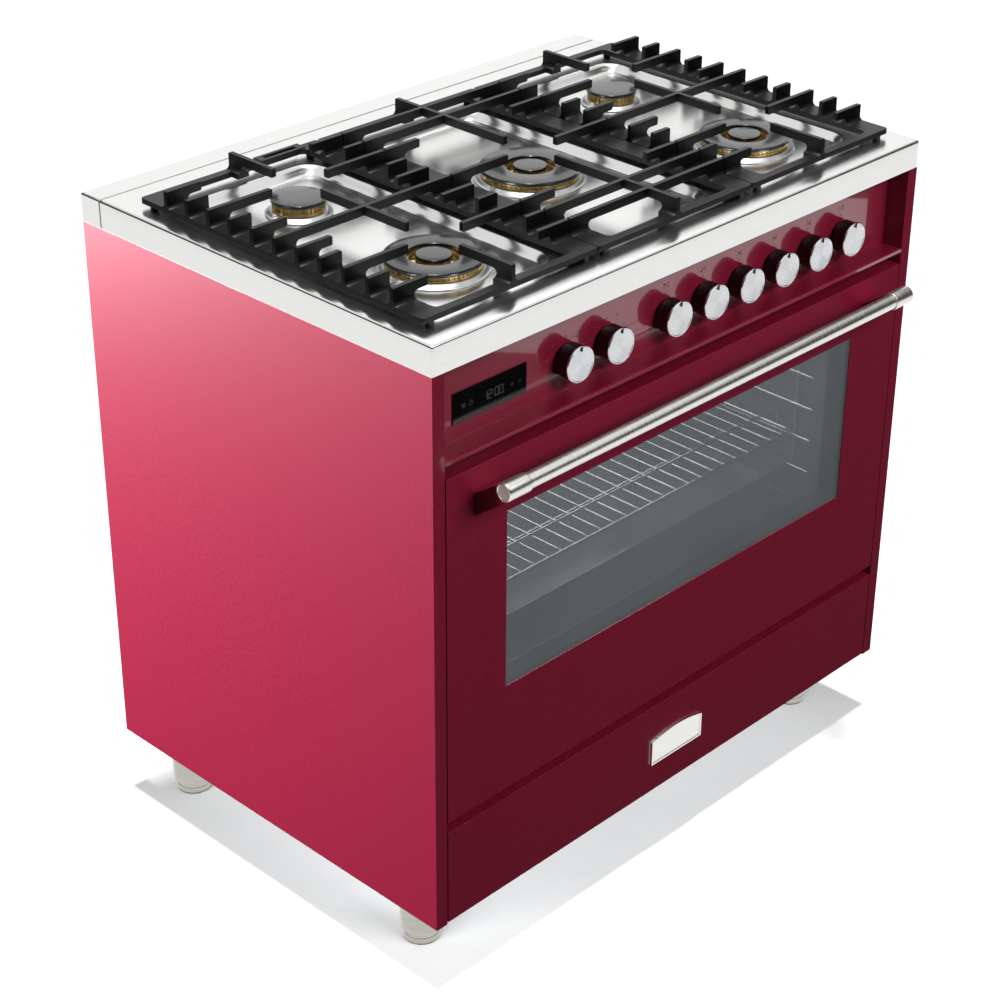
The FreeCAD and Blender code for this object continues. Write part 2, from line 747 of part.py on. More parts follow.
def gas_manifold():
    """Square rail behind the taps, the supply pipe to the rear and the threaded inlet."""
    x0 = gas_knob_x[0] - tap_width / 2
    half = manifold / 2
    y1 = tap_y1 + manifold
    nut_r, nut_length, pipe_wall, lap = 14.0, 8.0, 1.5, 1.0
    nut_y = back_y + sheet + seam
    return fuse([
        box(x0, inlet_x + half, tap_y1, y1, knob_z - half, knob_z + half),
        rod(inlet_x, y1 - lap, knob_z, Y, supply_r, nut_y - y1 + 2 * lap),
        rod(inlet_x, nut_y, knob_z, Y, nut_r, nut_length),
        rod(inlet_x, nut_y + nut_length, knob_z, Y, inlet_r, inlet_length)]).cut(
            rod(inlet_x, nut_y, knob_z, Y, supply_r - pipe_wall, inlet_length + nut_length))


def burner_pipes():
    """One pipe from each tap to its burner, each run on a level of its own."""
    split, first_level = 14.0, 2.0
    ends = [(-grate_pitch, rear_burner_y), (-grate_pitch, front_burner_y),
            (0.0, centre_burner_y - split), (0.0, centre_burner_y + split),
            (grate_pitch, front_burner_y), (grate_pitch, rear_burner_y)]
    z0 = knob_z + tap_half_z
    z1 = hob_z - cup_drop
    tap_y = (tap_y0 + tap_y1) / 2
    made = []
    for i, (x, (bx, by)) in enumerate(zip(gas_knob_x, ends)):
        z = z0 + pipe_bend + first_level + pipe_level_pitch * i
        made.append(bent_rod([V(x, tap_y, z0), V(x, tap_y, z), V(x, by, z), V(bx, by, z), V(bx, by, z1)],
                             pipe_bend, pipe_r))
    return made


# ---- door --------------------------------------------------------------------------------------
def hinge_notch():
    """Room in the door's lower corners for the hinge ears, over the whole swing."""
    skin_left, beyond = 0.1, 1.0
    z0 = door_z0 - beyond
    notch = box(ear_x0 - ear_clear, ear_x1 + ear_clear, sheet + skin_left, door_depth + beyond, z0,
                pivot_z + ear_half + ear_clear)
    return [notch, mirror_x(notch)]


def window_cut(grow, y0, y1):
    """Prism through the window opening; grow widens it all round."""
    z0 = door_z0 + window_z0
    return sbox(window_half_x + grow, y0, y1, z0 - grow, z0 + window_height + grow)


def door_panel():
    """Outer door skin with deep returns on all four edges."""
    outer = sbox(door_x, 0, door_depth, door_z0, door_z1)
    inner = sbox(door_x - sheet, sheet, door_depth + 1.0, door_z0 + sheet, door_z1 - sheet)
    skin = outer.cut(inner).cut(window_cut(0.0, -1.0, door_depth))
    return skin.cut(hinge_notch())


def door_glass():
    return window_cut(glass_lap, sheet, sheet + glass_thick)


def door_liner():
    """Inner door frame: a shallow pan round the inner glass, closing the skin's returns."""
    half = door_x - sheet - seam
    z0, z1 = door_z0 + sheet + seam, door_z1 - sheet - seam
    pan = sbox(half, liner_y0, door_depth, z0, z1)
    hollow = sbox(half - sheet, liner_y0, door_depth - sheet, z0 + sheet, z1 - sheet)
    pan = pan.cut(hollow).cut(window_cut(0.0, 0.0, door_depth + 1.0))
    return pan.cut(hinge_notch())


def door_inner_glass():
    y1 = door_depth - sheet
    return window_cut(inner_glass_lap, y1 - glass_thick, y1)


def door_handle():
    """Round bar and a larger ferrule at each end."""
    bar_half = handle_half - 1.0
    bar = rod(-bar_half, -handle_out, bar_z, X, bar_r, 2 * bar_half)
    x0 = handle_half - ferrule_length
    collar = ring(x0, -handle_out, bar_z, X, ferrule_r, bar_r, ferrule_length)
    return [bar] + both_sides(collar)


def handle_arms():
    """Sloping arms that carry the ferrules, coped round them, and climbing away from the door."""
    z_foot = bar_z - ferrule_r - arm_rise
    tip, step = 4.0, 1.0
    reach = handle_out + tip
    side = [V(0, 0, z_foot), V(0, 0, z_foot + arm_thick), V(0, -handle_out + tip, bar_z + ferrule_r - step),
            V(0, -reach, bar_z - ferrule_r)]
    for p in side:
        p.x = handle_half - ferrule_length
    arm = prism(side, V(ferrule_length - step, 0, 0))
    seat = rod(0, -handle_out, bar_z, X, ferrule_r, body_width)
    beyond = box(0, body_width, -handle_out - body_depth, -handle_out + tip, bar_z, bar_z + body_depth)
    arm = arm.cut([seat, beyond])
    arm = max(arm.Solids, key=lambda s: s.Volume)
    return both_sides(arm)


def hinge_arms():
    """Hinge straps inside the door with the pins that turn in the ears."""
    x0 = ear_x0 - ear_clear - strap_thick
    strap_rise, strap_drop, strap_gap = 110.0, 5.5, 1.0
    pin_end, head_rim, head_gap = 1.5, 1.5, 0.5
    strap = box(x0, x0 + strap_thick, sheet + glass_thick, liner_y0 - strap_gap, pivot_z - strap_drop,
                pivot_z + strap_rise)
    pin = rod(x0, pivot_y, pivot_z, X, pin_radius, ear_x1 + pin_end - x0)
    head = rod(x0 + strap_thick, pivot_y, pivot_z, X, pin_radius + head_rim, ear_clear - head_gap)
    return both_sides(fuse([strap, pin, head]))


def hinge_receivers():
    """Ears on the oven front that hold the hinge pins."""
    plate_thick, plate_lap, plate_rise = 2.0, 6.0, 25.0
    plate = box(ear_x0 - plate_lap, ear_x1 + plate_lap, oven_y0 - plate_thick, oven_y0,
                pivot_z - ear_half, pivot_z + plate_rise)
    web = box(ear_x0, ear_x1, pivot_y, oven_y0 - plate_thick, pivot_z - ear_half, pivot_z + ear_half)
    eye = rod(ear_x0, pivot_y, pivot_z, X, ear_half, ear_thick)
    ear = fuse([plate, web, eye])
    return both_sides(ear.cut(rod(ear_x0, pivot_y, pivot_z, X, pin_radius + turning_fit, ear_thick)))


# ---- oven --------------------------------------------------------------------------------------
def oven_cavity():
    """Enamelled box open to the front, with a wide front frame that closes the body."""
    t = sheet
    frame_drop, frame_rise, shaft_room = 2.0, 9.0, 2.0
    shell = fuse([sbox(oven_half_x + t, oven_y0, oven_y1 + t, oven_z0 - t, oven_z1 + t),
                  sbox(skin_x - seam, oven_y0, oven_y0 + t, drawer_z1 + frame_drop, door_z1 + frame_rise)])
    room = sbox(oven_half_x, oven_y0 - t, oven_y1, oven_z0, oven_z1)
    openings = [room, rod(0, oven_y1, fan_z, Y, shaft_r + shaft_room, t),
                rod(lamp_x, oven_y1, lamp_z, Y, lamp_r - lamp_lap, t)]
    return shell.cut(openings)


def oven_lamp():
    """Lamp lens inside the rear wall and its holder behind it."""
    lens_height, lens_edge, holder_length = 10.0, 3.0, 40.0
    lens = rod(lamp_x, oven_y1 - lens_height, lamp_z, Y, lamp_r, lens_height)
    lens = lens.makeFillet(lens_edge, [e for e in lens.Edges if e.BoundBox.YLength < 1e-6
                                 and e.BoundBox.YMin < oven_y1 - lens_height / 2])
    holder = rod(lamp_x, oven_y1 + sheet, lamp_z, Y, lamp_r - lamp_lap, holder_length)
    return [lens, holder]


def insulation_blanket():
    """Mineral wool jacket on five sides of the oven, with holes for the motor and the lamp."""
    gap = sheet + 0.5
    front_gap, thinner_floor, motor_room = 3.0, 4.0, 3.0
    outer = sbox(oven_half_x + gap + insulation, oven_y0 + front_gap, oven_y1 + gap + insulation,
                 oven_z0 - gap - insulation + thinner_floor, oven_z1 + gap + insulation)
    inner = sbox(oven_half_x + gap, oven_y0, oven_y1 + gap, oven_z0 - gap, oven_z1 + gap)
    holes = [inner, rod(0, oven_y1, fan_z, Y, motor_r + motor_room, 2 * insulation),
             rod(lamp_x, oven_y1, lamp_z, Y, lamp_r, 2 * insulation)]
    return outer.cut(holes)


def guide_z(level):
    return oven_z0 + guide_rise + guide_pitch * level


def rack_guides():
    """Wire ladders on the two side walls; each level is one long support wire."""
    post_drop, post_rise, post_inset, pin_inset, weld = 20.0, 34.0, 30.0, 4.0, 1.0
    z0, z1 = guide_z(0) - post_drop, guide_z(guide_levels - 1) + post_rise
    wires = []
    post_x = guide_x + 2 * wire_r - weld
    for y in (guide_y0 + post_inset, guide_y1 - post_inset):
        wires.append(rod(post_x, y, z0, Z, wire_r, z1 - z0))
        for z in (z0 + pin_inset, z1 - pin_inset):
            wires.append(rod(post_x, y, z, X, wire_r, oven_half_x - post_x))
    for level in range(guide_levels):
        wires.append(rod(guide_x, guide_y0, guide_z(level), Y, wire_r, guide_y1 - guide_y0))
    return both_sides(fuse(wires))


def oven_rack():
    """Wire shelf: rim of thicker rod, cross rods, fine rods front to rear, a guard bar at the front."""
    rim_r, cross_r, fine_r, guard_r = 3.0, 2.4, 1.6, 2.2
    corner, cross_drop, fine_rise, count = 12.0, 1.0, 2.0, 26
    z = guide_z(rack_level) + wire_r + rack_clear + rim_r
    half = rack_half - rim_r
    rim_line = rounded_rect(-half, half, rack_y0, rack_y1, z, corner)
    section = Part.Wire(Part.makeCircle(rim_r, V(half - corner, rack_y0, z), X))
    rods = [rim_line.makePipeShell([section], True, False)]
    for share in (0.18, 0.5, 0.82):
        y = rack_y0 + (rack_y1 - rack_y0) * share
        rods.append(rod(-half, y, z - cross_drop, X, cross_r, 2 * half))
    for i in range(count):
        x = -rack_half + (i + 1) * 2 * rack_half / (count + 1)
        rods.append(rod(x, rack_y0, z + fine_rise, Y, fine_r, rack_y1 - rack_y0))
    guard_y = rack_y0 + 2 * corner
    foot = [V(-half, guard_y, z), V(-half, guard_y, z + guard_rise)]
    rods.append(bent_rod(foot + [V(-p.x, p.y, p.z) for p in reversed(foot)], corner, guard_r))
    return fuse(rods)


def drip_tray():
    """Enamelled baking tray that hangs on the guides by its rim."""
    rim_thick, rim_corner, bowl_corner = 1.5, 14.0, 18.0
    rim_front, rim_side, slope = 8.0, 6.0, 8.0
    rim_z = guide_z(tray_level) + wire_r + rack_clear
    half, y0, y1 = guide_x - wire_r - rim_side, rack_y0 + rim_front, rack_y1 - rim_front

    def bowl(t):
        high = rounded_rect(-half + t, half - t, y0 + t, y1 - t, rim_z + rim_thick, bowl_corner)
        inner = slope + t
        low = rounded_rect(-half + inner, half - inner, y0 + inner, y1 - inner, rim_z - tray_depth + t,
                           bowl_corner)
        return Part.makeLoft([high, low], True, True)

    rim = Part.Face(rounded_rect(-rack_half, rack_half, rack_y0, rack_y1, rim_z, rim_corner))
    return fuse([rim.extrude(V(0, 0, rim_thick)), bowl(0.0)]).cut(bowl(tray_sheet))


def fan_cover():
    """Pressed cover over the fan, with rings of air slots round the middle."""
    y0 = oven_y1 - fan_cover_depth
    h = fan_cover_half
    corner, slot_half, beyond = 8.0, 2.5, 1.0
    pan = sbox(h, y0, oven_y1, fan_z - h, fan_z + h)
    pan = pan.makeFillet(corner, [e for e in pan.Edges if e.BoundBox.YLength > 1.0])
    pan = pan.cut(sbox(h - sheet, y0 + sheet, oven_y1, fan_z - h + sheet, fan_z + h - sheet))
    cuts = []
    for count, r0, r1 in ((12, 18.0, 38.0), (20, 46.0, 66.0)):
        for i in range(count):
            slot = box(r0, r1, y0 - beyond, y0 + sheet + beyond, -slot_half, slot_half)
            slot.rotate(V(0, 0, 0), Y, 360.0 * i / count)
            slot.translate(V(0, 0, fan_z))
            cuts.append(slot)
    return pan.cut(cuts)


def convection_fan():
    """Fan wheel: a back disc, bent blades and the shaft that runs into the motor."""
    y0 = fan_y0
    disc_y = y0 + fan_depth
    blades, blade_width, blade_half, blade_inset, blade_turn, weld = 12, 22.0, 0.8, 2.0, 35.0, 0.5
    hub_r, hub_inset, shaft_in = 9.0, 4.0, 14.0
    parts = [rod(0, disc_y, fan_z, Y, fan_r, sheet), rod(0, y0 + hub_inset, fan_z, Y, hub_r, fan_depth),
             rod(0, y0 + hub_inset, fan_z, Y, shaft_r, oven_y1 + sheet + shaft_in - y0)]
    tip = fan_r - blade_inset
    for i in range(blades):
        blade = box(tip - blade_width, tip, y0, disc_y + weld, -blade_half, blade_half)
        blade.rotate(V(tip - blade_width / 2, 0, 0), Y, blade_turn)
        blade.rotate(V(0, 0, 0), Y, 360.0 * i / blades)
        blade.translate(V(0, 0, fan_z))
        parts.append(blade)
    return fuse(parts)


def fan_motor():
    y0 = oven_y1 + sheet
    neck_share, neck_length, bore_length = 0.6, 8.0, 20.0
    body = fuse([rod(0, y0, fan_z, Y, motor_r * neck_share, neck_length),
                 rod(0, y0 + neck_length, fan_z, Y, motor_r, motor_length)])
    return body.cut(rod(0, y0, fan_z, Y, shaft_r + turning_fit, bore_length))


def heating_elements():
    """Grill coil under the roof and the ring element round the fan."""
    r = element_r
    roof_gap, front_gap, rear_gap, bend = 16.0, 60.0, 50.0, 24.0
    lanes, lane_pitch = 8, 74.0
    ring_gap, ring_y, tail_x = 18.0, fan_y0 + 10.0, 16.0
    z, y0, y1 = oven_z1 - roof_gap, oven_y0 + front_gap, oven_y1 - rear_gap
    points = []
    for i in range(lanes):
        x = lane_pitch * ((lanes - 1) / 2 - i)
        ends = (y0, y1) if i % 2 else (y1, y0)
        points += [V(x, ends[0], z), V(x, ends[1], z)]
    points[0].y = oven_y1
    points[-1].y = oven_y1
    ring_r = fan_r + ring_gap
    tail_z = fan_z + math.sqrt(ring_r ** 2 - tail_x ** 2)
    coil = Part.makeTorus(ring_r, r, V(0, ring_y, fan_z), Y)
    tails = [rod(x, ring_y, tail_z, Y, tail_share * r, oven_y1 - ring_y) for x in (-tail_x, tail_x)]
    return [bent_rod(points, bend, r), fuse([coil] + tails)]


def door_gasket():
    """Soft seal loop on the oven front frame, round the opening."""
    air, side_gap, top_gap, bend = 0.6, 16.0, 14.0, 16.0
    r = (seal_gap - air) / 2
    y = oven_y0 - r
    half, z0, z1 = oven_half_x + side_gap, oven_z0 - gasket_drop, oven_z1 + top_gap
    loop = rounded_rect(-half, half, z0, z1, 0.0, bend)
    loop.rotate(V(0, 0, 0), X, 90.0)
    loop.translate(V(0, y, 0))
    section = Part.Wire(Part.makeCircle(r, V(half - bend, y, z0), X))
    return loop.makePipeShell([section], True, False)


# ---- drawer ------------------------------------------------------------------------------------
def drawer_front():
    outer = sbox(door_x, 0, drawer_front_depth, drawer_z0, drawer_z1)
    inner = sbox(door_x - sheet, sheet, drawer_front_depth, drawer_z0 + sheet, drawer_z1 - sheet)
    return outer.cut(inner)


def drawer_box():
    """Open steel box with a tall front wall behind the drawer front and a runner on each side."""
    y0, y1 = drawer_front_depth, drawer_front_depth + drawer_box_depth
    weld, runner_inset = 0.5, 30.0
    outer = sbox(drawer_box_half, y0, y1, box_z0, box_z0 + drawer_box_height)
    room = sbox(drawer_box_half - sheet, y0 + sheet, y1 - sheet, box_z0 + sheet,
                box_z0 + drawer_box_height)
    wall = sbox(door_x - sheet - seam, y0 - sheet, y0, drawer_z0 + sheet + seam, drawer_z1 - sheet - seam)
    runner = box(drawer_box_half - weld, drawer_box_half + runner_width, y0 + runner_inset, y1,
                 runner_z0, runner_z0 + runner_height)
    return fuse([outer.cut(room), wall] + both_sides(runner))


def drawer_slides():
    """Channels on the base pan that the drawer's runners slide in."""
    x0 = drawer_box_half + slide_gap
    x1 = drawer_box_half + runner_width + slide_gap
    front_inset, rear_spare, foot_width = 40.0, 20.0, 12.0
    y0 = drawer_front_depth + front_inset
    y1 = drawer_front_depth + drawer_box_depth + rear_spare
    z0, z1 = runner_z0 - slide_gap, runner_z0 + runner_height + slide_gap
    web = box(x1, x1 + sheet, y0, y1, z_body + 2 * sheet, z1 + sheet)
    shelf = box(x0, x1 + sheet, y0, y1, z0 - sheet, z0)
    lid = box(x0, x1 + sheet, y0, y1, z1, z1 + sheet)
    foot = box(x1, x1 + foot_width, y0, y1, z_body + 2 * sheet, z_body + 3 * sheet)
    return both_sides(fuse([web, shelf, lid, foot]))


def nameplate():
    """Plain badge with an arched top edge and a raised rim."""
    z0 = drawer_z0 + badge_rise
    z1 = z0 + badge_height
    arch, rim, rim_height = 8.0, 2.5, 1.0
    shoulder = z1 - arch

    def plate(inset, y0, y1):
        b = badge_half - inset
        low, high, top = z0 + inset, shoulder - inset, z1 - inset
        edges = [Part.LineSegment(V(-b, y0, low), V(b, y0, low)).toShape(),
                 Part.LineSegment(V(b, y0, low), V(b, y0, high)).toShape(),
                 Part.Arc(V(b, y0, high), V(0, y0, top), V(-b, y0, high)).toShape(),
                 Part.LineSegment(V(-b, y0, high), V(-b, y0, low)).toShape()]
        return Part.Face(Part.Wire(edges)).extrude(V(0, y1 - y0, 0))

    return plate(0.0, -badge_thick, 0.0).cut(plate(rim, -badge_thick, -badge_thick + rim_height))


# ---- legs --------------------------------------------------------------------------------------
def leg_places():
    return [(x, y) for x in (-leg_x, leg_x) for y in (leg_front_y, leg_rear_y)]


def leg_tubes():
    """Tapered legs with a stud through the base pan, hollow for the levelling foot."""
    top = z_body + sheet
    stud_length, sleeve_room, roof_thick = 12.0, 2.0, 6.0
    made = []
    for x, y in leg_places():
        leg = Part.makeCone(leg_bottom_r, leg_top_r, top - leg_bottom_z, V(x, y, leg_bottom_z), Z)
        stud = rod(x, y, top, Z, stud_r, stud_length)
        room = rod(x, y, leg_bottom_z, Z, foot_r + foot_fit,
                   foot_sleeve - leg_bottom_z + sleeve_room)
        screw_room = rod(x, y, leg_bottom_z, Z, foot_screw_r + foot_fit,
                         top - leg_bottom_z - roof_thick)
        made.append(fuse([leg, stud]).cut([room, screw_room]))
    return made


def levelling_feet():
    """Adjustable feet: a round sleeve on the floor and a screw up into the leg."""
    edge, lap, screw_length = 1.0, 1.0, 38.0
    made = []
    for x, y in leg_places():
        sleeve = rod(x, y, 0, Z, foot_r, foot_sleeve)
        low = [e for e in sleeve.Edges if e.BoundBox.ZMax < 1e-6]
        sleeve = sleeve.makeChamfer(edge, low)
        made.append(fuse([sleeve, rod(x, y, foot_sleeve - lap, Z, foot_screw_r, screw_length)]))
    return made


# ---- write every sub-part ----------------------------------------------------------------------
side = side_panel()
save("side_panel_right", [side])
save("side_panel_left", [mirror_x(side)])
save("base_pan", [base_pan()])
save("back_panel", [back_panel()])
save("cooktop", [cooktop()])
save("rear_trim", [rear_trim()])
save("burner_bases", burner_bases())
save("igniter_pins", pins())
save("small_burner_spreaders", small_spreaders())
save("dual_burner_spreaders", dual_spreaders())
save("small_burner_caps", small_caps())
save("dual_burner_caps", dual_caps())
save("grate_left", [left_grate()])
save("grate_centre", [centre_grate()])
save("grate_right", [side_grate(grate_pitch)])
save("control_panel", [control_panel()])
save("oven_clock", oven_clock())
save("knob_oven_mode", knob(oven_knob_x[0], False))
save("knob_oven_heat", knob(oven_knob_x[1], False))
for number, x in enumerate(gas_knob_x, 1):
    save("knob_burner_%d" % number, knob(x, True))
    save("tap_spindle_%d" % number, [spindle(x)])
save("gas_taps", gas_taps())
save("oven_switches", switches())
save("gas_manifold", [gas_manifold()])
save("burner_pipes", burner_pipes())
save("door_panel", [door_panel()])
save("door_glass", [door_glass()])
save("door_liner", [door_liner()])
save("door_inner_glass", [door_inner_glass()])
save("door_handle", door_handle())
save("handle_arms", handle_arms())
save("hinge_arms", hinge_arms())
save("hinge_receivers", hinge_receivers())
save("oven_cavity", [oven_cavity()])
save("insulation_blanket", [insulation_blanket()])
save("rack_guides", rack_guides())
save("oven_rack", [oven_rack()])
save("drip_tray", [drip_tray()])
save("fan_cover", [fan_cover()])
save("convection_fan", [convection_fan()])
save("fan_motor", [fan_motor()])
save("heating_elements", heating_elements())
save("oven_lamp", oven_lamp())
save("door_gasket", [door_gasket()])
save("drawer_front", [drawer_front()])
save("drawer_box", [drawer_box()])
save("drawer_slides", drawer_slides())
save("nameplate", [nameplate()])
save("leg_tubes", leg_tubes())
save("levelling_feet", levelling_feet())
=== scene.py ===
import json
import math

import bmesh
import bpy
import numpy as np
from mathutils import Matrix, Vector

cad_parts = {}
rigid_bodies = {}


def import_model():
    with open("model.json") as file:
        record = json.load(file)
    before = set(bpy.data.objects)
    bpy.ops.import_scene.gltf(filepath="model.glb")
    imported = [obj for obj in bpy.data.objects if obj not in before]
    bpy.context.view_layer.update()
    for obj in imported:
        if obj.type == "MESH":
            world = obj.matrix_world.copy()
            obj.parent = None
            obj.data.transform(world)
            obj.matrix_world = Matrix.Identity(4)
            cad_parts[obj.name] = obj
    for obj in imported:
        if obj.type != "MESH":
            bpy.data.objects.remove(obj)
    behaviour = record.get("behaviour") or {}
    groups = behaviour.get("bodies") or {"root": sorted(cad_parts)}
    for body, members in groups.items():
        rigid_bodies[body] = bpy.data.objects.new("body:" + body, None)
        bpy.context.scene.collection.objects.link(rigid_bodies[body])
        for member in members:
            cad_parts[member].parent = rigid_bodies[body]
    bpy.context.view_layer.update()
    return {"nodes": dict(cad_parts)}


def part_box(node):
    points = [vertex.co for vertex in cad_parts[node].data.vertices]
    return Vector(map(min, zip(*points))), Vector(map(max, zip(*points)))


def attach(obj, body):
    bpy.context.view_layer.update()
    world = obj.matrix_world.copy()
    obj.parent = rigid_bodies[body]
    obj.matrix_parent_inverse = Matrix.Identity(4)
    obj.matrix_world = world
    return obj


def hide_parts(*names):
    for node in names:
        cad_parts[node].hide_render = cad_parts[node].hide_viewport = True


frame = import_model()
nodes = frame["nodes"]
mm = 0.001
mergeGap = 0.002 * mm  # points nearer than this are one point
print("frame loaded:", len(nodes), "nodes")


def span(node):
    # lowest and highest corner of a CAD node
    low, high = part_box(node)
    return np.array(low), np.array(high)


def gridQuads(rows, cols):
    # corner numbers of every cell in a rows by cols grid of points
    a, b = np.meshgrid(np.arange(rows - 1), np.arange(cols - 1), indexing="ij")
    first = a * cols + b
    return np.stack([first, first + cols, first + cols + 1, first + 1], -1).reshape(-1, 4)


def sheetOf(points, uv=None):
    # a grid of points (rows, cols, 3) as one part; the default uv runs 0 to 1 both ways
    rows, cols = points.shape[:2]
    if uv is None:
        uv = np.stack(np.meshgrid(np.linspace(0, 1, rows), np.linspace(0, 1, cols), indexing="ij"), -1)
    return points.reshape(-1, 3), gridQuads(rows, cols), uv.reshape(-1, 2)


def rounded(corners, steps=4):
    # outline of (a, b, radius) corners where each radius becomes a run of points on a tangent arc
    found = []
    count = len(corners)
    for i, (a, b, radius) in enumerate(corners):
        here = np.array([a, b], float)
        if radius == 0 or i in (0, count - 1):
            found.append(here[None])
            continue
        before = here - np.array(corners[i - 1][:2], float)
        after = np.array(corners[i + 1][:2], float) - here
        before, after = before / np.linalg.norm(before), after / np.linalg.norm(after)
        half = math.acos(np.clip(before @ after, -1, 1)) / 2
        back = radius * math.tan(half)
        t = np.linspace(0, 1, steps + 1)[:, None]
        p0, p1 = here - before * back, here + after * back
        found.append((1 - t) ** 2 * p0 + 2 * t * (1 - t) * here + t ** 2 * p1)
    return np.concatenate(found)


axisFrames = {"x": ((0, 1, 0), (0, 0, 1), (1, 0, 0)), "y": ((0, 0, 1), (1, 0, 0), (0, 1, 0)),
              "z": ((1, 0, 0), (0, 1, 0), (0, 0, 1))}


def turned(profile, centre, axis="z", count=64, wave=None):
    # (radius, height) profile carried once round an axis: point = centre + r cos(a) U + r sin(a) V + h W;
    # wave(angle, height) is added to the radius. The seam and the poles close when doubles are merged.
    r, h = np.asarray(profile, float).T
    angle = np.linspace(0, 2 * math.pi, count + 1)
    radius = r[:, None] * np.ones(count + 1)
    if wave is not None:
        radius = radius + wave(angle[None, :], h[:, None]) * (radius > mergeGap)
    u, v, w = (np.array(d, float) for d in axisFrames[axis])
    points = (np.array(centre, float) + radius[..., None] * np.cos(angle)[None, :, None] * u
              + radius[..., None] * np.sin(angle)[None, :, None] * v + h[:, None, None] * w)
    return sheetOf(points)


def slab(outline, origin, right, up, thick):
    # flat outline of (a, b) points: its front face, its back face and the wall between them, as rings
    # that shrink to the middle
    flat = np.asarray(outline, float)
    flat = np.concatenate([flat, flat[:1]])
    middle = flat[:-1].mean(0)
    right, up = np.array(right, float), np.array(up, float)
    away = np.cross(right, up)
    rings = []
    for share, depth in ((0, 0), (1, 0), (1, -thick), (0, -thick)):
        ring = middle + (flat - middle) * share
        rings.append(np.array(origin) + ring[:, :1] * right + ring[:, 1:] * up + away * depth)
    return sheetOf(np.stack(rings))


def makePiece(name, parts, body, material, replaced=(), sharp=40):
    # one mesh of all the parts, doubles merged, faces turned outwards, edges over the angle kept sharp
    points = np.concatenate([p for p, q, t in parts])
    starts = np.cumsum([0] + [len(p) for p, q, t in parts[:-1]])
    quads = np.concatenate([q + s for (p, q, t), s in zip(parts, starts)])
    uv = np.concatenate([t for p, q, t in parts])
    mesh = bpy.data.meshes.new(name)
    mesh.from_pydata(points, [], quads)
    layer = mesh.uv_layers.new(name="surface")
    layer.data.foreach_set("uv", uv[quads.ravel()].ravel())
    piece = bpy.data.objects.new(name, mesh)
    bpy.context.scene.collection.objects.link(piece)
    cleanMesh(mesh)
    mesh.shade_smooth()
    mesh.set_sharp_from_angle(angle=math.radians(sharp))
    mesh.materials.append(material)
    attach(piece, body)
    if replaced:
        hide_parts(*replaced)
    return piece


def cleanMesh(mesh):
    # closes the seams between the parts and turns every face outwards
    work = bmesh.new()
    work.from_mesh(mesh)
    bmesh.ops.remove_doubles(work, verts=work.verts, dist=mergeGap)
    bmesh.ops.recalc_face_normals(work, faces=work.faces)
    work.to_mesh(mesh)
    work.free()


def linear(hexText):
    # sRGB hex to the linear colour that a shader takes
    value = np.array([int(hexText[i:i + 2], 16) / 255 for i in (1, 3, 5)])
    rgb = np.where(value <= 0.04045, value / 12.92, ((value + 0.055) / 1.055) ** 2.4)
    return (*(float(c) for c in rgb), 1.0)


def addNode(tree, kind, settings=None, inputs=None):
    # one node: settings are its own properties, inputs are socket values or the sockets that feed them
    node = tree.nodes.new(kind)
    for key, value in (settings or {}).items():
        setattr(node, key, value)
    for key, value in (inputs or {}).items():
        if isinstance(value, bpy.types.NodeSocket):
            tree.links.new(value, node.inputs[key])
        else:
            node.inputs[key].default_value = value
    return node


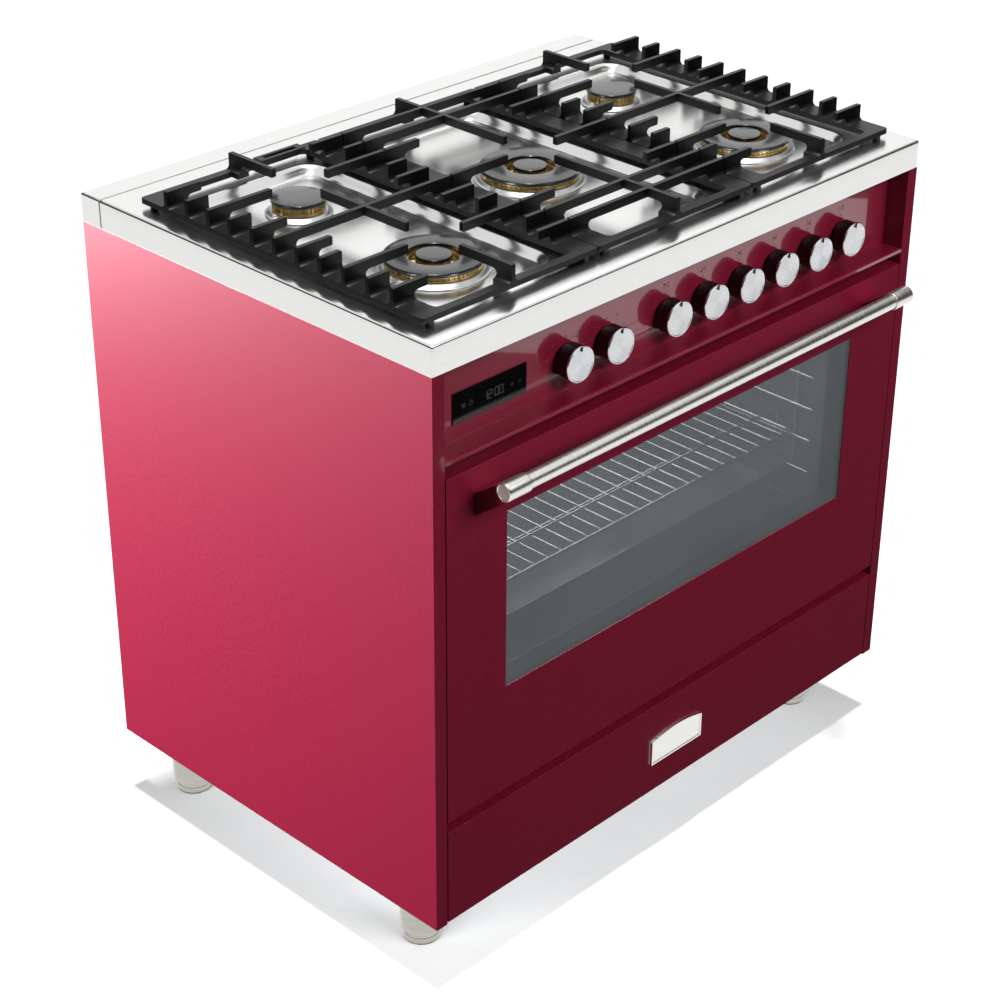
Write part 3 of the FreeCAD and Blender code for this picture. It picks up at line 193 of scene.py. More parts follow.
# Each finish: two colours that the pattern mixes, metallic, roughness from and to, the pattern's size in mm
# along x, y and z, bump height in mm, and anything else that goes on the shader itself.
finishes = {
    # fired gloss enamel paint on pressed steel: deep burgundy under a clear coat, faint orange peel
    "glossBurgundyEnamel": {
        "colours": ("#7c0e2d", "#801030"), "rough": (0.40, 0.43), "size": (5, 5, 5), "bump": 0.003,
        "shader": {"Coat Weight": 1.0, "Coat Roughness": 0.03, "Coat IOR": 1.5, "IOR": 1.5}},
    # fine brushed stainless sheet: bright grey, hair-thin streaks across the hob, drawn coarser to show
    "brushedStainless": {
        "colours": ("#dadad8", "#e0e0de"), "metallic": 1.0, "rough": (0.20, 0.24), "size": (60, 0.5, 0.5),
        "bump": 0.0002},
    # cast iron under matt black enamel: dark grey, sandy skin left by the mould
    "mattCastIron": {
        "colours": ("#151618", "#1d1e20"), "rough": (0.40, 0.52), "size": (1.2, 1.2, 1.2), "bump": 0.04,
        "shader": {"IOR": 1.5}},
    # turned brass, lightly polished: warm yellow with faint tool rings
    "turnedBrass": {
        "colours": ("#cfb170", "#dcc48a"), "metallic": 1.0, "rough": (0.16, 0.24), "size": (3, 3, 0.4),
        "bump": 0.004},
    # die-cast aluminium, left as cast: pale satin grey, soft grain
    "dieCastAluminium": {
        "colours": ("#b4b5b6", "#c6c7c8"), "metallic": 1.0, "rough": (0.30, 0.42), "size": (0.9, 0.9, 0.9),
        "bump": 0.015},
    # satin black enamel on pressed steel caps: charcoal, even, low sheen
    "satinBlackEnamel": {
        "colours": ("#121315", "#18191b"), "rough": (0.26, 0.32), "size": (1.5, 1.5, 1.5), "bump": 0.003,
        "shader": {"Coat Weight": 0.6, "Coat Roughness": 0.16, "IOR": 1.5}},
    # vitreous oven enamel: near black with pale specks a millimetre across
    "speckledOvenEnamel": {
        "colours": ("#54585c", "#7d8286"), "rough": (0.16, 0.24), "size": (2.2, 2.2, 2.2), "bump": 0.01,
        "edge": (0.62, 0.68), "shader": {"Coat Weight": 0.6, "Coat Roughness": 0.08, "IOR": 1.5}},
    # black moulded phenolic grip: smooth, faint moulded grain
    "mouldedBlackGrip": {
        "colours": ("#141415", "#1c1c1e"), "rough": (0.22, 0.32), "size": (0.8, 0.8, 0.8), "bump": 0.008,
        "shader": {"IOR": 1.54}},
    # black thermoset housing: duller, same grain
    "blackThermoset": {
        "colours": ("#1a1a1b", "#242426"), "rough": (0.45, 0.58), "size": (1, 1, 1), "bump": 0.02,
        "shader": {"IOR": 1.54}},
    # satin stainless tube: bright, fine sanding lines round the bar
    "satinTube": {
        "colours": ("#d6d4d0", "#e2e0dc"), "metallic": 1.0, "rough": (0.26, 0.34), "size": (0.6, 40, 40),
        "bump": 0.001},
    # satin nickel plate on the legs: grey, slightly warm, soft reflections
    "satinNickel": {
        "colours": ("#a9a6a1", "#bbb8b3"), "metallic": 1.0, "rough": (0.26, 0.36), "size": (20, 20, 0.5),
        "bump": 0.003},
    # zinc-coated steel sheet: blue-grey with dull spangle about 12 mm across
    "zincSheet": {
        "colours": ("#9da2a6", "#b4b9bd"), "metallic": 1.0, "rough": (0.34, 0.50), "size": (12, 12, 12),
        "pattern": "cells", "bump": 0.002},
    # bright pressed steel of hinges and the fan: rolled sheet with long faint lines
    "rolledSteel": {
        "colours": ("#8f9193", "#a6a8aa"), "metallic": 1.0, "rough": (0.28, 0.40), "size": (2, 2, 30),
        "bump": 0.004},
    # chromed oven wire: very bright, slightly wavy plating
    "chromedWire": {
        "colours": ("#dcdcdc", "#e8e8e8"), "metallic": 1.0, "rough": (0.10, 0.18), "size": (6, 6, 6),
        "bump": 0.004},
    # heater sheath browned by heat: dark grey with straw and blue patches
    "heatedSheath": {
        "colours": ("#3a3633", "#5a4f45"), "metallic": 1.0, "rough": (0.38, 0.52), "size": (22, 22, 22),
        "bump": 0.003},
    # drawn aluminium tube: light grey, soft lengthwise sheen
    "drawnAluminium": {
        "colours": ("#b9bbbd", "#c9cbcd"), "metallic": 1.0, "rough": (0.30, 0.42), "size": (1, 40, 1),
        "bump": 0.002},
    # mineral wool felt: yellow-grey, fibrous and fully matt
    "mineralWoolFelt": {
        "colours": ("#8b7a55", "#b5a67f"), "rough": (0.9, 1.0), "size": (6, 1.2, 6), "bump": 0.8,
        "shader": {"Sheen Weight": 0.3}},
    # woven glass-fibre door seal: dark grey braid with 2 mm stitches
    "wovenSeal": {
        "colours": ("#2e2e2f", "#4a4a4b"), "rough": (0.75, 0.9), "size": (2, 2, 2), "pattern": "cells",
        "bump": 0.25},
    # glazed ceramic of the spark pins: warm white and glossy
    "glazedCeramic": {
        "colours": ("#e4ddcf", "#efeae0"), "rough": (0.10, 0.18), "size": (1, 1, 1), "bump": 0.003,
        "shader": {"IOR": 1.55, "Coat Weight": 0.5}},
    # fired white print on the panel and the clock: flat, slightly raised grain
    "firedWhitePrint": {
        "colours": ("#e9e9ea", "#f4f4f4"), "rough": (0.5, 0.6), "size": (0.3, 0.3, 0.3), "bump": 0.004},
    # black back-printed glass of the clock: deep charcoal behind a polished face
    "printedClockGlass": {
        "colours": ("#1d2024", "#24282c"), "rough": (0.03, 0.06), "size": (30, 30, 30), "bump": 0.001,
        "shader": {"IOR": 1.52}},
    # grey tempered float glass of the door: see-through, smoky, mirror smooth
    "greyDoorGlass": {
        "colours": ("#858b8f", "#8b9195"), "rough": (0.03, 0.04), "size": (120, 120, 120), "bump": 0.0005,
        "shader": {"IOR": 1.52, "Alpha": 0.40}},
    # pressed clear glass of the lamp cover: bright, rippled
    "pressedLampGlass": {
        "colours": ("#d8dcd8", "#eef0ec"), "rough": (0.05, 0.12), "size": (5, 5, 5), "bump": 0.15,
        "shader": {"IOR": 1.5, "Alpha": 0.55}},
}


def makeFinish(name, spec):
    # object coordinates over the pattern size feed a noise or cell pattern; it mixes the two colours, moves
    # the roughness between its two values and lifts the surface
    material = bpy.data.materials.new(name)
    material.use_nodes = True
    tree = material.node_tree
    tree.nodes.clear()
    place = addNode(tree, "ShaderNodeTexCoord")
    turn = addNode(tree, "ShaderNodeMapping", None, {
        "Vector": place.outputs["Object"], "Scale": [1 / (s * mm) for s in spec["size"]]})
    if spec.get("pattern") == "cells":
        pattern = addNode(tree, "ShaderNodeTexVoronoi", {"feature": "F1"}, {
            "Vector": turn.outputs["Vector"], "Scale": 1.0})
        value = addNode(tree, "ShaderNodeSeparateColor", None, {
            "Color": pattern.outputs["Color"]}).outputs["Red"]
        height = pattern.outputs["Distance"]
    else:
        pattern = addNode(tree, "ShaderNodeTexNoise", None, {
            "Vector": turn.outputs["Vector"], "Scale": 1.0, "Detail": 3.0, "Roughness": 0.55})
        value = height = pattern.outputs["Fac"]
    low, high = spec.get("edge", (0.35, 0.65))
    share = addNode(tree, "ShaderNodeMapRange", {"interpolation_type": "SMOOTHSTEP"}, {
        "Value": value, "From Min": low, "From Max": high}).outputs["Result"]
    colour = addNode(tree, "ShaderNodeMix", {"data_type": "RGBA"}, {0: share})
    colour.inputs[6].default_value = linear(spec["colours"][0])
    colour.inputs[7].default_value = linear(spec["colours"][1])
    rough = addNode(tree, "ShaderNodeMapRange", None, {
        "Value": share, "To Min": spec["rough"][0], "To Max": spec["rough"][1]}).outputs["Result"]
    bump = addNode(tree, "ShaderNodeBump", None, {
        "Height": height, "Strength": 1.0, "Distance": spec["bump"] * mm})
    shader = addNode(tree, "ShaderNodeBsdfPrincipled", None, {
        "Base Color": colour.outputs[2], "Roughness": rough, "Normal": bump.outputs["Normal"],
        "Metallic": spec.get("metallic", 0.0)})
    for socket, number in spec.get("shader", {}).items():
        shader.inputs[socket].default_value = number
    addNode(tree, "ShaderNodeOutputMaterial", None, {"Surface": shader.outputs["BSDF"]})
    return material


materials = {name: makeFinish(name, spec) for name, spec in finishes.items()}


def spunAluminium():
    # knob face turned on a lathe: bright satin with a fan of light, from rings 0.4 mm apart that run with the
    # surface's own u direction
    material = makeFinish("spunAluminium", {
        "colours": ("#c4c6c8", "#d4d6d8"), "metallic": 1.0, "rough": (0.20, 0.30), "size": (1, 1, 1),
        "bump": 0.002})
    tree = material.node_tree
    shader = next(n for n in tree.nodes if n.type == "BSDF_PRINCIPLED")
    along = addNode(tree, "ShaderNodeTangent", {"direction_type": "UV_MAP", "uv_map": "surface"})
    tree.links.new(along.outputs["Tangent"], shader.inputs["Tangent"])
    shader.inputs["Anisotropic"].default_value = 0.75
    return material


materials["spunAluminium"] = spunAluminium()
print("materials:", len(materials))

# node: finish and the radius of its softened edges in mm (0 leaves the edges alone)
carried = {
    "side_panel_right": ("glossBurgundyEnamel", 0.5), "side_panel_left": ("glossBurgundyEnamel", 0.5),
    "control_panel": ("glossBurgundyEnamel", 0.5), "door_panel": ("glossBurgundyEnamel", 0.6),
    "drawer_front": ("glossBurgundyEnamel", 0.6), "handle_arms": ("glossBurgundyEnamel", 0.6),
    "rear_trim": ("brushedStainless", 0), "nameplate": ("brushedStainless", 0.3),
    "base_pan": ("zincSheet", 0), "back_panel": ("zincSheet", 0), "drawer_box": ("zincSheet", 0.3),
    "drawer_slides": ("zincSheet", 0.2), "gas_manifold": ("zincSheet", 0), "fan_motor": ("zincSheet", 0),
    "grate_left": ("mattCastIron", 0.9), "grate_centre": ("mattCastIron", 0.9),
    "grate_right": ("mattCastIron", 0.9), "gas_taps": ("turnedBrass", 0.4),
    "oven_clock": ("printedClockGlass", 0.4), "oven_switches": ("blackThermoset", 0.5),
    "burner_pipes": ("drawnAluminium", 0), "door_glass": ("greyDoorGlass", 0),
    "door_inner_glass": ("greyDoorGlass", 0), "door_liner": ("satinBlackEnamel", 0.4),
    "hinge_arms": ("rolledSteel", 0.3), "hinge_receivers": ("rolledSteel", 0.3),
    "oven_cavity": ("speckledOvenEnamel", 0.4), "insulation_blanket": ("mineralWoolFelt", 0),
    "rack_guides": ("chromedWire", 0), "oven_rack": ("chromedWire", 0),
    "drip_tray": ("speckledOvenEnamel", 0), "fan_cover": ("speckledOvenEnamel", 0),
    "convection_fan": ("rolledSteel", 0), "heating_elements": ("heatedSheath", 0),
    "oven_lamp": ("pressedLampGlass", 0), "door_gasket": ("wovenSeal", 0)}
for number in range(1, 7):
    carried["tap_spindle_%d" % number] = ("turnedBrass", 0)


softEdge = {"weldGap": 0.005, "sharpOver": 30, "segments": 2}  # mm, degrees, faces across the rounding


def softenEdges(node, radius):
    # welds the loose triangles and rounds every edge sharper than the angle
    weld = node.modifiers.new("weld", "WELD")
    weld.merge_threshold = softEdge["weldGap"] * mm
    edge = node.modifiers.new("edge", "BEVEL")
    edge.limit_method = "ANGLE"
    edge.angle_limit = math.radians(softEdge["sharpOver"])
    edge.width = radius * mm
    edge.segments = softEdge["segments"]
    edge.use_clamp_overlap = True
    edge.harden_normals = True


for name, (finish, radius) in carried.items():
    nodes[name].material_slots[0].material = materials[finish]
    if radius:
        softenEdges(nodes[name], radius)
print("carried nodes:", len(carried))

# mm; the wells' front and rear are measured from the hob's own edges
hob = {
    "edgeRadius": 3.0, "sheet": 1.5, "hemRise": 6.0, "lineLead": 3.0, "lineGapShare": 0.4,
    "wellHalf": 110.0, "wellFront": 70.0, "wellRear": 82.0, "wellCorner": 30.0, "wellDepth": 10.0,
    "wellRun": 14.0, "fineStep": 2.0, "coarseStep": 9.0, "arcSteps": 4}

hobLow, hobHigh = span("cooktop")
hobZ = hobHigh[2]
wellZ = hobZ - hob["wellDepth"] * mm
grateNodes = ("grate_left", "grate_centre", "grate_right")
columns = [float(np.mean([corner[0] for corner in span(grate)])) for grate in grateNodes]
wellY = (hobLow[1] + hob["wellFront"] * mm, hobHigh[1] - hob["wellRear"] * mm)


def gridLines(low, high, borders, reach):
    # fine lines near each border and coarse lines between
    fine, coarse = hob["fineStep"] * mm, hob["coarseStep"] * mm
    lines = [np.arange(low, high, coarse), [high]]
    for place, side in borders:
        a, b = sorted((place - side * hob["lineLead"] * mm, place + side * reach))
        lines = [np.array([v for part in lines for v in part if not a < v < b])]
        lines.append(np.arange(a, b + fine / 2, fine))
    found = np.unique(np.round(np.concatenate(lines), 6))
    keep = np.concatenate([[True], np.diff(found) > fine * hob["lineGapShare"]])
    keep[-1] = True
    return found[keep]


def wellShare(x, y):
    # 0 on the hob, 1 on the well floor: smooth step of the distance inside the nearest rounded rectangle
    deepest = np.zeros_like(x)
    corner = hob["wellCorner"] * mm
    middle, half = (wellY[0] + wellY[1]) / 2, (wellY[1] - wellY[0]) / 2
    for column in columns:
        qx = np.abs(x - column) - (hob["wellHalf"] * mm - corner)
        qy = np.abs(y - middle) - (half - corner)
        outside = np.hypot(np.maximum(qx, 0), np.maximum(qy, 0))
        inside = corner - outside - np.minimum(np.maximum(qx, qy), 0)
        t = np.clip(inside / (hob["wellRun"] * mm), 0, 1)
        deepest = np.maximum(deepest, t * t * (3 - 2 * t))
    return deepest


def hobSheet():
    # the top is a grid with the wells sunk in; beyond each edge the grid turns over an arc and runs down the
    # apron to a hem. Past a corner the larger of the two border counts sets how far down, and their ratio the
    # direction.
    radius, reach = hob["edgeRadius"] * mm, hob["wellCorner"] * mm
    x0, x1 = hobLow[0] + radius, hobHigh[0] - radius
    y0, y1 = hobLow[1] + radius, hobHigh[1] - radius
    half = hob["wellHalf"] * mm
    bordersX = [(c + s * half, -s) for c in columns for s in (-1, 1)]
    xs = gridLines(x0, x1, bordersX, reach)
    ys = gridLines(y0, y1, [(wellY[0], 1), (wellY[1], -1)], reach)
    steps = hob["arcSteps"]
    quarter = np.linspace(0, math.pi / 2, steps + 1)[1:]
    out = np.concatenate([[0], radius * np.sin(quarter), [radius] * 2, [radius - hob["sheet"] * mm] * 2])
    apron = hobHigh[2] - hobLow[2]
    hem = hob["hemRise"] * mm
    down = np.concatenate([[0], radius * (1 - np.cos(quarter)), [apron * 0.5, apron, apron, apron - hem]])
    rings = len(out) - 1
    borderX = np.concatenate([np.arange(rings, 0, -1), np.zeros(len(xs)), np.arange(1, rings + 1)])
    borderY = np.concatenate([np.arange(rings, 0, -1), np.zeros(len(ys)), np.arange(1, rings + 1)])
    baseX = np.concatenate([[x0] * rings, xs, [x1] * rings])
    baseY = np.concatenate([[y0] * rings, ys, [y1] * rings])
    bx, by = np.meshgrid(borderX, borderY, indexing="ij")
    x, y = np.meshgrid(baseX, baseY, indexing="ij")
    signX = np.where(x < 0, -1, 1)
    signY = np.where(y < (y0 + y1) / 2, -1, 1)
    ringNumber = np.maximum(bx, by).astype(int)
    share = np.where(ringNumber > 0, np.minimum(bx, by) / np.maximum(ringNumber, 1), 0)
    angle = np.where(bx >= by, share * math.pi / 4, math.pi / 2 - share * math.pi / 4)
    away = out[ringNumber]
    z = hobZ - down[ringNumber] - hob["wellDepth"] * mm * wellShare(x, y)
    onBorder = ringNumber > 0
    px = x + np.where(onBorder, signX * np.cos(angle) * away, 0)
    py = y + np.where(onBorder, signY * np.sin(angle) * away, 0)
    return sheetOf(np.stack([px, py, z], -1))


makePiece("hobSheet", [hobSheet()], "body", materials["brushedStainless"], ["cooktop"], sharp=60)
print("hob sheet made")

# mm; the small and dual burners share the cap's thickness and edge
burner = {
    "baseReach": 7.0, "baseRise": 6.0, "spreaderSeat": 6.0, "spreaderInset": 2.0,
    "teeth": 60, "smallTeeth": 36, "toothDepth": 1.8,
    "slotSharpness": 4.0, "slotLowShare": 0.31, "slotTop": 0.87,
    "notchDepth": 3.0, "notchHalf": 0.06, "notchEase": 0.02,
    "smallSpreader": 11.0, "smallRing": 14.0, "dualSpreader": 7.0,
    "crownHeight": 8.0, "crownRadius": 20.0, "crownHole": 8.0, "crownTeeth": 24, "crownTooth": 0.9,
    "ringHole": 32.0, "dishMiddle": 26.0, "innerCap": 22.0,
    "capThick": 5.0, "capRound": 1.4, "capDome": 0.5, "ringDome": 0.3,
    "ribOutline": [(-3, 0), (3, 0), (3, 4.2), (2, 5), (-2, 5), (-3, 4.2)], "ribLift": 0.6, "ribLength": 13.0,
    "ribs": 3, "firstRib": 30, "pinOut": 4.0, "pinFoot": 3.2, "pinRadius": 2.2, "tipRadius": 0.8,
    "smallCap": 35.0, "frontCap": 60.0, "centreCap": 65.0}

smallLow, smallHigh = span("small_burner_caps")
dualLow, dualHigh = span("dual_burner_caps")
smallY = (smallLow[1] + smallHigh[1]) / 2
frontY = dualLow[1] + burner["frontCap"] * mm
centreY = dualHigh[1] - burner["centreCap"] * mm
smallBurners = [(columns[0], smallY, burner["smallCap"]), (columns[2], smallY, burner["smallCap"])]
dualBurners = [(columns[0], frontY, burner["frontCap"]), (columns[2], frontY, burner["frontCap"]),
               (columns[1], centreY, burner["centreCap"])]


def ringProfile(inner, outer, low, high, soft, dome=0.0):
    # closed (radius, height) outline of a ring, or of a disc when inner is 0, with softened upper edges
    if inner == 0:
        corners = [(0, low, 0), (outer, low, soft / 2), (outer, high, soft), (outer * 0.5, high + dome, 0),
                   (0, high + dome, 0)]
    else:
        middle = (inner + outer) / 2
        corners = [(middle, low, 0), (outer, low, soft / 2), (outer, high, soft), (middle, high + dome, 0),
                   (inner, high, soft), (inner, low, soft / 2), (middle, low, 0)]
    return rounded(corners) * mm


def teethWave(teeth, depth, high):
    # square-ended slots round the ring, only between two heights, and a wider notch on either side
    low, top = high * burner["slotLowShare"] * mm, (high - burner["slotTop"]) * mm

    def wave(angle, height):
        tooth = np.clip(burner["slotSharpness"] * np.cos(angle * teeth), -1, 1) * 0.5 - 0.5
        side = np.minimum(np.abs(np.mod(angle + math.pi / 2, math.pi) - math.pi / 2), 1)
        notch = -np.clip((burner["notchHalf"] - side) / burner["notchEase"], 0, 1) * burner["notchDepth"]
        inSlots = (height > low) & (height < top)
        return np.where(inSlots, np.minimum(tooth * depth, notch), 0) * mm
    return wave


def spreaderProfile(inner, outer, high):
    # ring with extra rows where the slots start and stop
    rows = [(outer, h, 0) for h in (high * 0.3, high * 0.32, high - 0.9, high - 0.85)]
    middle = (inner + outer) / 2
    corners = [(middle, 0, 0), (outer, 0, 0.3), *rows, (outer, high, 0.3), (inner, high, 0.3),
               (inner, 0, 0.3), (middle, 0, 0)]
    return rounded(corners) * mm


def burnerBase(x, y, cap):
    foot = cap + burner["baseReach"]
    rise = burner["baseRise"]
    # pressed cup: a flat foot, a step up to the rim and a shallow floor inside it
    corners = [(0, 0.1, 0), (foot, 0.1, 0), (foot, 1.6, 0.8), (foot - 2.5, 2.4, 1.0),
               (cap + 1.0, rise - 0.6, 1.6), (cap - 3.0, rise - 0.2, 0.6), (cap - 3.6, rise - 1.2, 0.4),
               (0, rise - 1.2, 0)]
    return turned(rounded(corners) * mm, (x, y, wellZ), count=96)


def capDisc(radius, place, count):
    # plain domed lid of a small burner or of a dual burner's crown
    profile = ringProfile(0, radius, 0, burner["capThick"] - burner["capDome"], burner["capRound"],
                          burner["capDome"])
    return turned(profile, place, count=count)


def sparkPin(spot):
    # white ceramic collar and stem, and the thin steel tip above it
    foot, stem, tip = burner["pinFoot"], burner["pinRadius"], burner["tipRadius"]
    collar = [(0, 3.2, 0), (foot, 3.2, 0.3), (foot, 4.6, 0.4), (stem, 5.2, 0.3), (stem, 8.4, 0.6),
              (0, 8.6, 0)]
    wire = [(0, 8.0, 0), (tip, 8.0, 0), (tip, 10.4, 0.3), (0, 10.6, 0)]
    return turned(rounded(collar) * mm, spot, count=20), turned(rounded(wire) * mm, spot, count=12)


def dualSpreader(x, y, cap):
    # outer toothed ring, inner toothed crown, the dish between them and three ribs across the dish
    high, crown, seat = burner["dualSpreader"], burner["crownHeight"], (x, y, seatZ)
    inner, hole = burner["crownRadius"], burner["ringHole"]
    ring = spreaderProfile(hole - 2, cap - burner["spreaderInset"], high)
    made = [turned(ring, seat, count=480, wave=teethWave(burner["teeth"], burner["toothDepth"], high))]
    middle = spreaderProfile(burner["crownHole"], inner, crown)
    wave = teethWave(burner["crownTeeth"], burner["crownTooth"], crown)
    made.append(turned(middle, seat, count=240, wave=wave))
    dish = [(inner - 2, 0.5, 0), (hole - 1, 0.5, 0), (hole - 1, 2.0, 0.5), (burner["dishMiddle"], 1.4, 2.0),
            (inner - 2, 2.0, 0), (inner - 2, 0.5, 0)]
    made.append(turned(rounded(dish) * mm, seat, count=72))
    for k in range(burner["ribs"]):
        angle = math.radians(burner["firstRib"] + 360 / burner["ribs"] * k)
        away = np.array([math.cos(angle), math.sin(angle), 0])
        across = np.array([-math.sin(angle), math.cos(angle), 0])
        start = np.array([x, y, seatZ + burner["ribLift"] * mm]) + away * (hole - 1) * mm
        outline = np.array(burner["ribOutline"]) * mm
        made.append(slab(outline, start, across, (0, 0, 1), burner["ribLength"] * mm))
    return made


basesMade, brassSmall, brassDual, capsSmall, capsDual = [], [], [], [], []
ceramicPins, steelTips = [], []
seatZ = wellZ + burner["spreaderSeat"] * mm
for x, y, cap in smallBurners + dualBurners:
    basesMade.append(burnerBase(x, y, cap))
    for side in (-1, 1):
        collar, wire = sparkPin((x + side * (cap + burner["pinOut"]) * mm, y, wellZ))
        ceramicPins.append(collar)
        steelTips.append(wire)
for x, y, cap in smallBurners:
    high = burner["smallSpreader"]
    profile = spreaderProfile(cap - burner["smallRing"], cap - burner["spreaderInset"], high)
    wave = teethWave(burner["smallTeeth"], burner["toothDepth"], high)
    brassSmall.append(turned(profile, (x, y, seatZ), count=360, wave=wave))
    capsSmall.append(capDisc(cap, (x, y, seatZ + high * mm), 96))
for x, y, cap in dualBurners:
    brassDual += dualSpreader(x, y, cap)
    profile = ringProfile(burner["ringHole"], cap, 0, burner["capThick"] - burner["ringDome"],
                          burner["capRound"], burner["ringDome"])
    capsDual.append(turned(profile, (x, y, seatZ + burner["dualSpreader"] * mm), count=128))
    capsDual.append(capDisc(burner["innerCap"], (x, y, seatZ + burner["crownHeight"] * mm), 80))
for name, parts, slotName, finish, replaced, sharp in (
        ("burnerBases", basesMade, "cast_aluminium", "dieCastAluminium", ["burner_bases"], 50),
        ("smallSpreaders", brassSmall, "brass", "turnedBrass", ["small_burner_spreaders"], 30),
        ("dualSpreaders", brassDual, "brass", "turnedBrass", ["dual_burner_spreaders"], 30),
        ("smallCaps", capsSmall, "black_enamel", "satinBlackEnamel", ["small_burner_caps"], 50),
        ("dualCaps", capsDual, "black_enamel", "satinBlackEnamel", ["dual_burner_caps"], 50),
        ("sparkPins", ceramicPins, "ceramic", "glazedCeramic", ["igniter_pins"], 40),
        ("sparkTips", steelTips, "hinge_steel", "rolledSteel", [], 40)):
    makePiece(name, parts, "body", materials[finish], replaced, sharp)
print("burners made")

# mm; the pointer is a tapered mark on the face
knob = {
    "faceRadius": 23.3, "faceThick": 3.0, "gripRadius": 22.0, "recess": 0.5, "rim": 2.2, "rings": 8,
    "stem": 16.0, "stemRadius": 3.0, "pointerIn": 17.0, "pointerOut": 22.6, "pointerHalf": 0.8,
    "pointerFlare": 1.6, "pointerRaise": 0.12, "pointerSink": 0.9}

panelFace = span("control_panel")[1][1] - hob["sheet"] * mm
knobNodes = ["knob_oven_mode", "knob_oven_heat"] + ["knob_burner_%d" % n for n in range(1, 7)]


def makeKnob(node):
    # a bright dished face, a black grip behind it that ends in a stem on the oven knobs, and the pointer
    low, high = span(node)
    front = ((low[0] + high[0]) / 2, low[1], (low[2] + high[2]) / 2)
    face, thick, recess = knob["faceRadius"], knob["faceThick"], knob["recess"]
    grip, stem = knob["gripRadius"], knob["stemRadius"]
    inner = face - knob["rim"]
    disc = [(0, recess, 0), (inner - 0.5, recess, 0.3), (inner, 0, 0.2), (face - 0.9, 0, 0.4),
            (face, 0.9, 0.4), (face, thick - 0.4, 0.3), (face - 0.6, thick, 0.2), (0, thick, 0)]
    flat = np.stack([np.linspace(0, inner - 1.2, knob["rings"]), np.full(knob["rings"], recess)], 1)
    faceProfile = np.concatenate([flat, rounded(disc)[1:]]) * mm
    stemLength = knob["stem"] if "oven" in node else 0
    end = (high[1] - low[1]) / mm - stemLength
    corners = [(0, thick, 0), (grip - 0.4, thick, 0), (grip, thick + 0.4, 0.2), (grip, end - 1.0, 0.8),
               (grip - 1.0, end, 0.3), (stem, end, 0)]
    if stemLength:
        corners.append((stem, end + stemLength, 0))
    corners.append((0, end + stemLength, 0))
    half, near, far = knob["pointerHalf"], knob["pointerIn"], knob["pointerOut"]
    wide = half * knob["pointerFlare"]
    outline = np.array([(-half, near), (half, near), (wide, far), (-wide, far)]) * mm
    start = np.array(front) - np.array([0, knob["pointerRaise"] * mm, 0])
    for title, part, finish, replaced, sharp in (
            ("dialFace_", turned(faceProfile, front, "y", 96), "spunAluminium", [node], 25),
            ("dialGrip_", turned(rounded(corners) * mm, front, "y", 96), "mouldedBlackGrip", [node], 35),
            ("dialMark_", slab(outline, start, (1, 0, 0), (0, 0, 1), -knob["pointerSink"] * mm),
             "mouldedBlackGrip", [], 40)):
        makePiece(node.replace("knob_", title), [part], node, materials[finish], replaced, sharp)


for node in knobNodes:
    makeKnob(node)
print("knobs made")

segments = {"a": ((0, 1), (1, 1)), "b": ((1, 1), (1, 0)), "c": ((1, 0), (1, -1)), "d": ((1, -1), (0, -1)),
            "e": ((0, -1), (0, 0)), "f": ((0, 0), (0, 1)), "g": ((0, 0), (1, 0))}
digitSegments = {"1": "bc", "2": "abged", "0": "abcdef"}
# mm from the middle of the clock's face
clock = {
    "time": "1200", "places": (-1.5, -0.62, 0.62, 1.5), "pitch": 8.6, "middleShift": 5.0,
    "digitHalf": 5.2, "digitWidth": 5.4, "stroke": 1.1, "colonRise": 2.4, "colonDot": 0.8,
    "menuFrom": -46, "menuTo": -40, "menuPitch": 2, "menuLine": 0.7,
    "dialX": -31, "dialRadius": 3.0, "dialLine": 0.6, "longHand": 2.0, "shortHand": 1.4,
    "plusX": 35.5, "minusX": 47.5, "signHalf": 2.5, "signLine": 0.8}


def strip(start, end, width):
    # straight printed line with square ends as a flat quad outline
    a, b = np.array(start, float), np.array(end, float)
    along = (b - a) / np.linalg.norm(b - a)
    side = np.array([-along[1], along[0]]) * width / 2
    return np.array([a - side, b - side, b + side, a + side])


def discOutline(x, z, radius, count=16):
    # filled dot
    angle = np.linspace(0, 2 * math.pi, count, endpoint=False)
    return np.stack([x + radius * np.cos(angle), z + radius * np.sin(angle)], 1)


def arcStrips(x, z, radius, fromDeg, toDeg, width, count=12):
    # curved line as short straight ones
    angle = np.radians(np.linspace(fromDeg, toDeg, count + 1))
    path = np.stack([x + radius * np.cos(angle), z + radius * np.sin(angle)], 1)
    return [strip(a, b, width) for a, b in zip(path, path[1:])]


def printed(name, outlines, middle, body, material, lift=0.05, thick=0.04):
    # thin raised plates from flat outlines in mm about the middle, on a face that looks along -y
    parts = [slab(np.asarray(o) * mm, np.array(middle) - np.array([0, lift * mm, 0]), (1, 0, 0), (0, 0, 1),
                  -thick * mm) for o in outlines]
    return makePiece(name, parts, body, material)


clockLow, clockHigh = span("oven_clock")
clockMiddle = ((clockLow[0] + clockHigh[0]) / 2, clockLow[1], (clockLow[2] + clockHigh[2]) / 2)
shown = []
for place, digit in zip(clock["places"], clock["time"]):
    x = clock["middleShift"] + place * clock["pitch"] - clock["digitWidth"] / 2
    for key in digitSegments[digit]:
        start, end = ((x + px * clock["digitWidth"], pz * clock["digitHalf"]) for px, pz in segments[key])
        shown.append(strip(start, end, clock["stroke"]))
for z in (-clock["colonRise"], clock["colonRise"]):
    shown.append(discOutline(clock["middleShift"], z, clock["colonDot"]))
for row in (-1, 0, 1):
    z = row * clock["menuPitch"]
    shown.append(strip((clock["menuFrom"], z), (clock["menuTo"], z), clock["menuLine"]))
x, half = clock["dialX"], clock["signHalf"]
shown += arcStrips(x, 0, clock["dialRadius"], 0, 360, clock["dialLine"], 20)
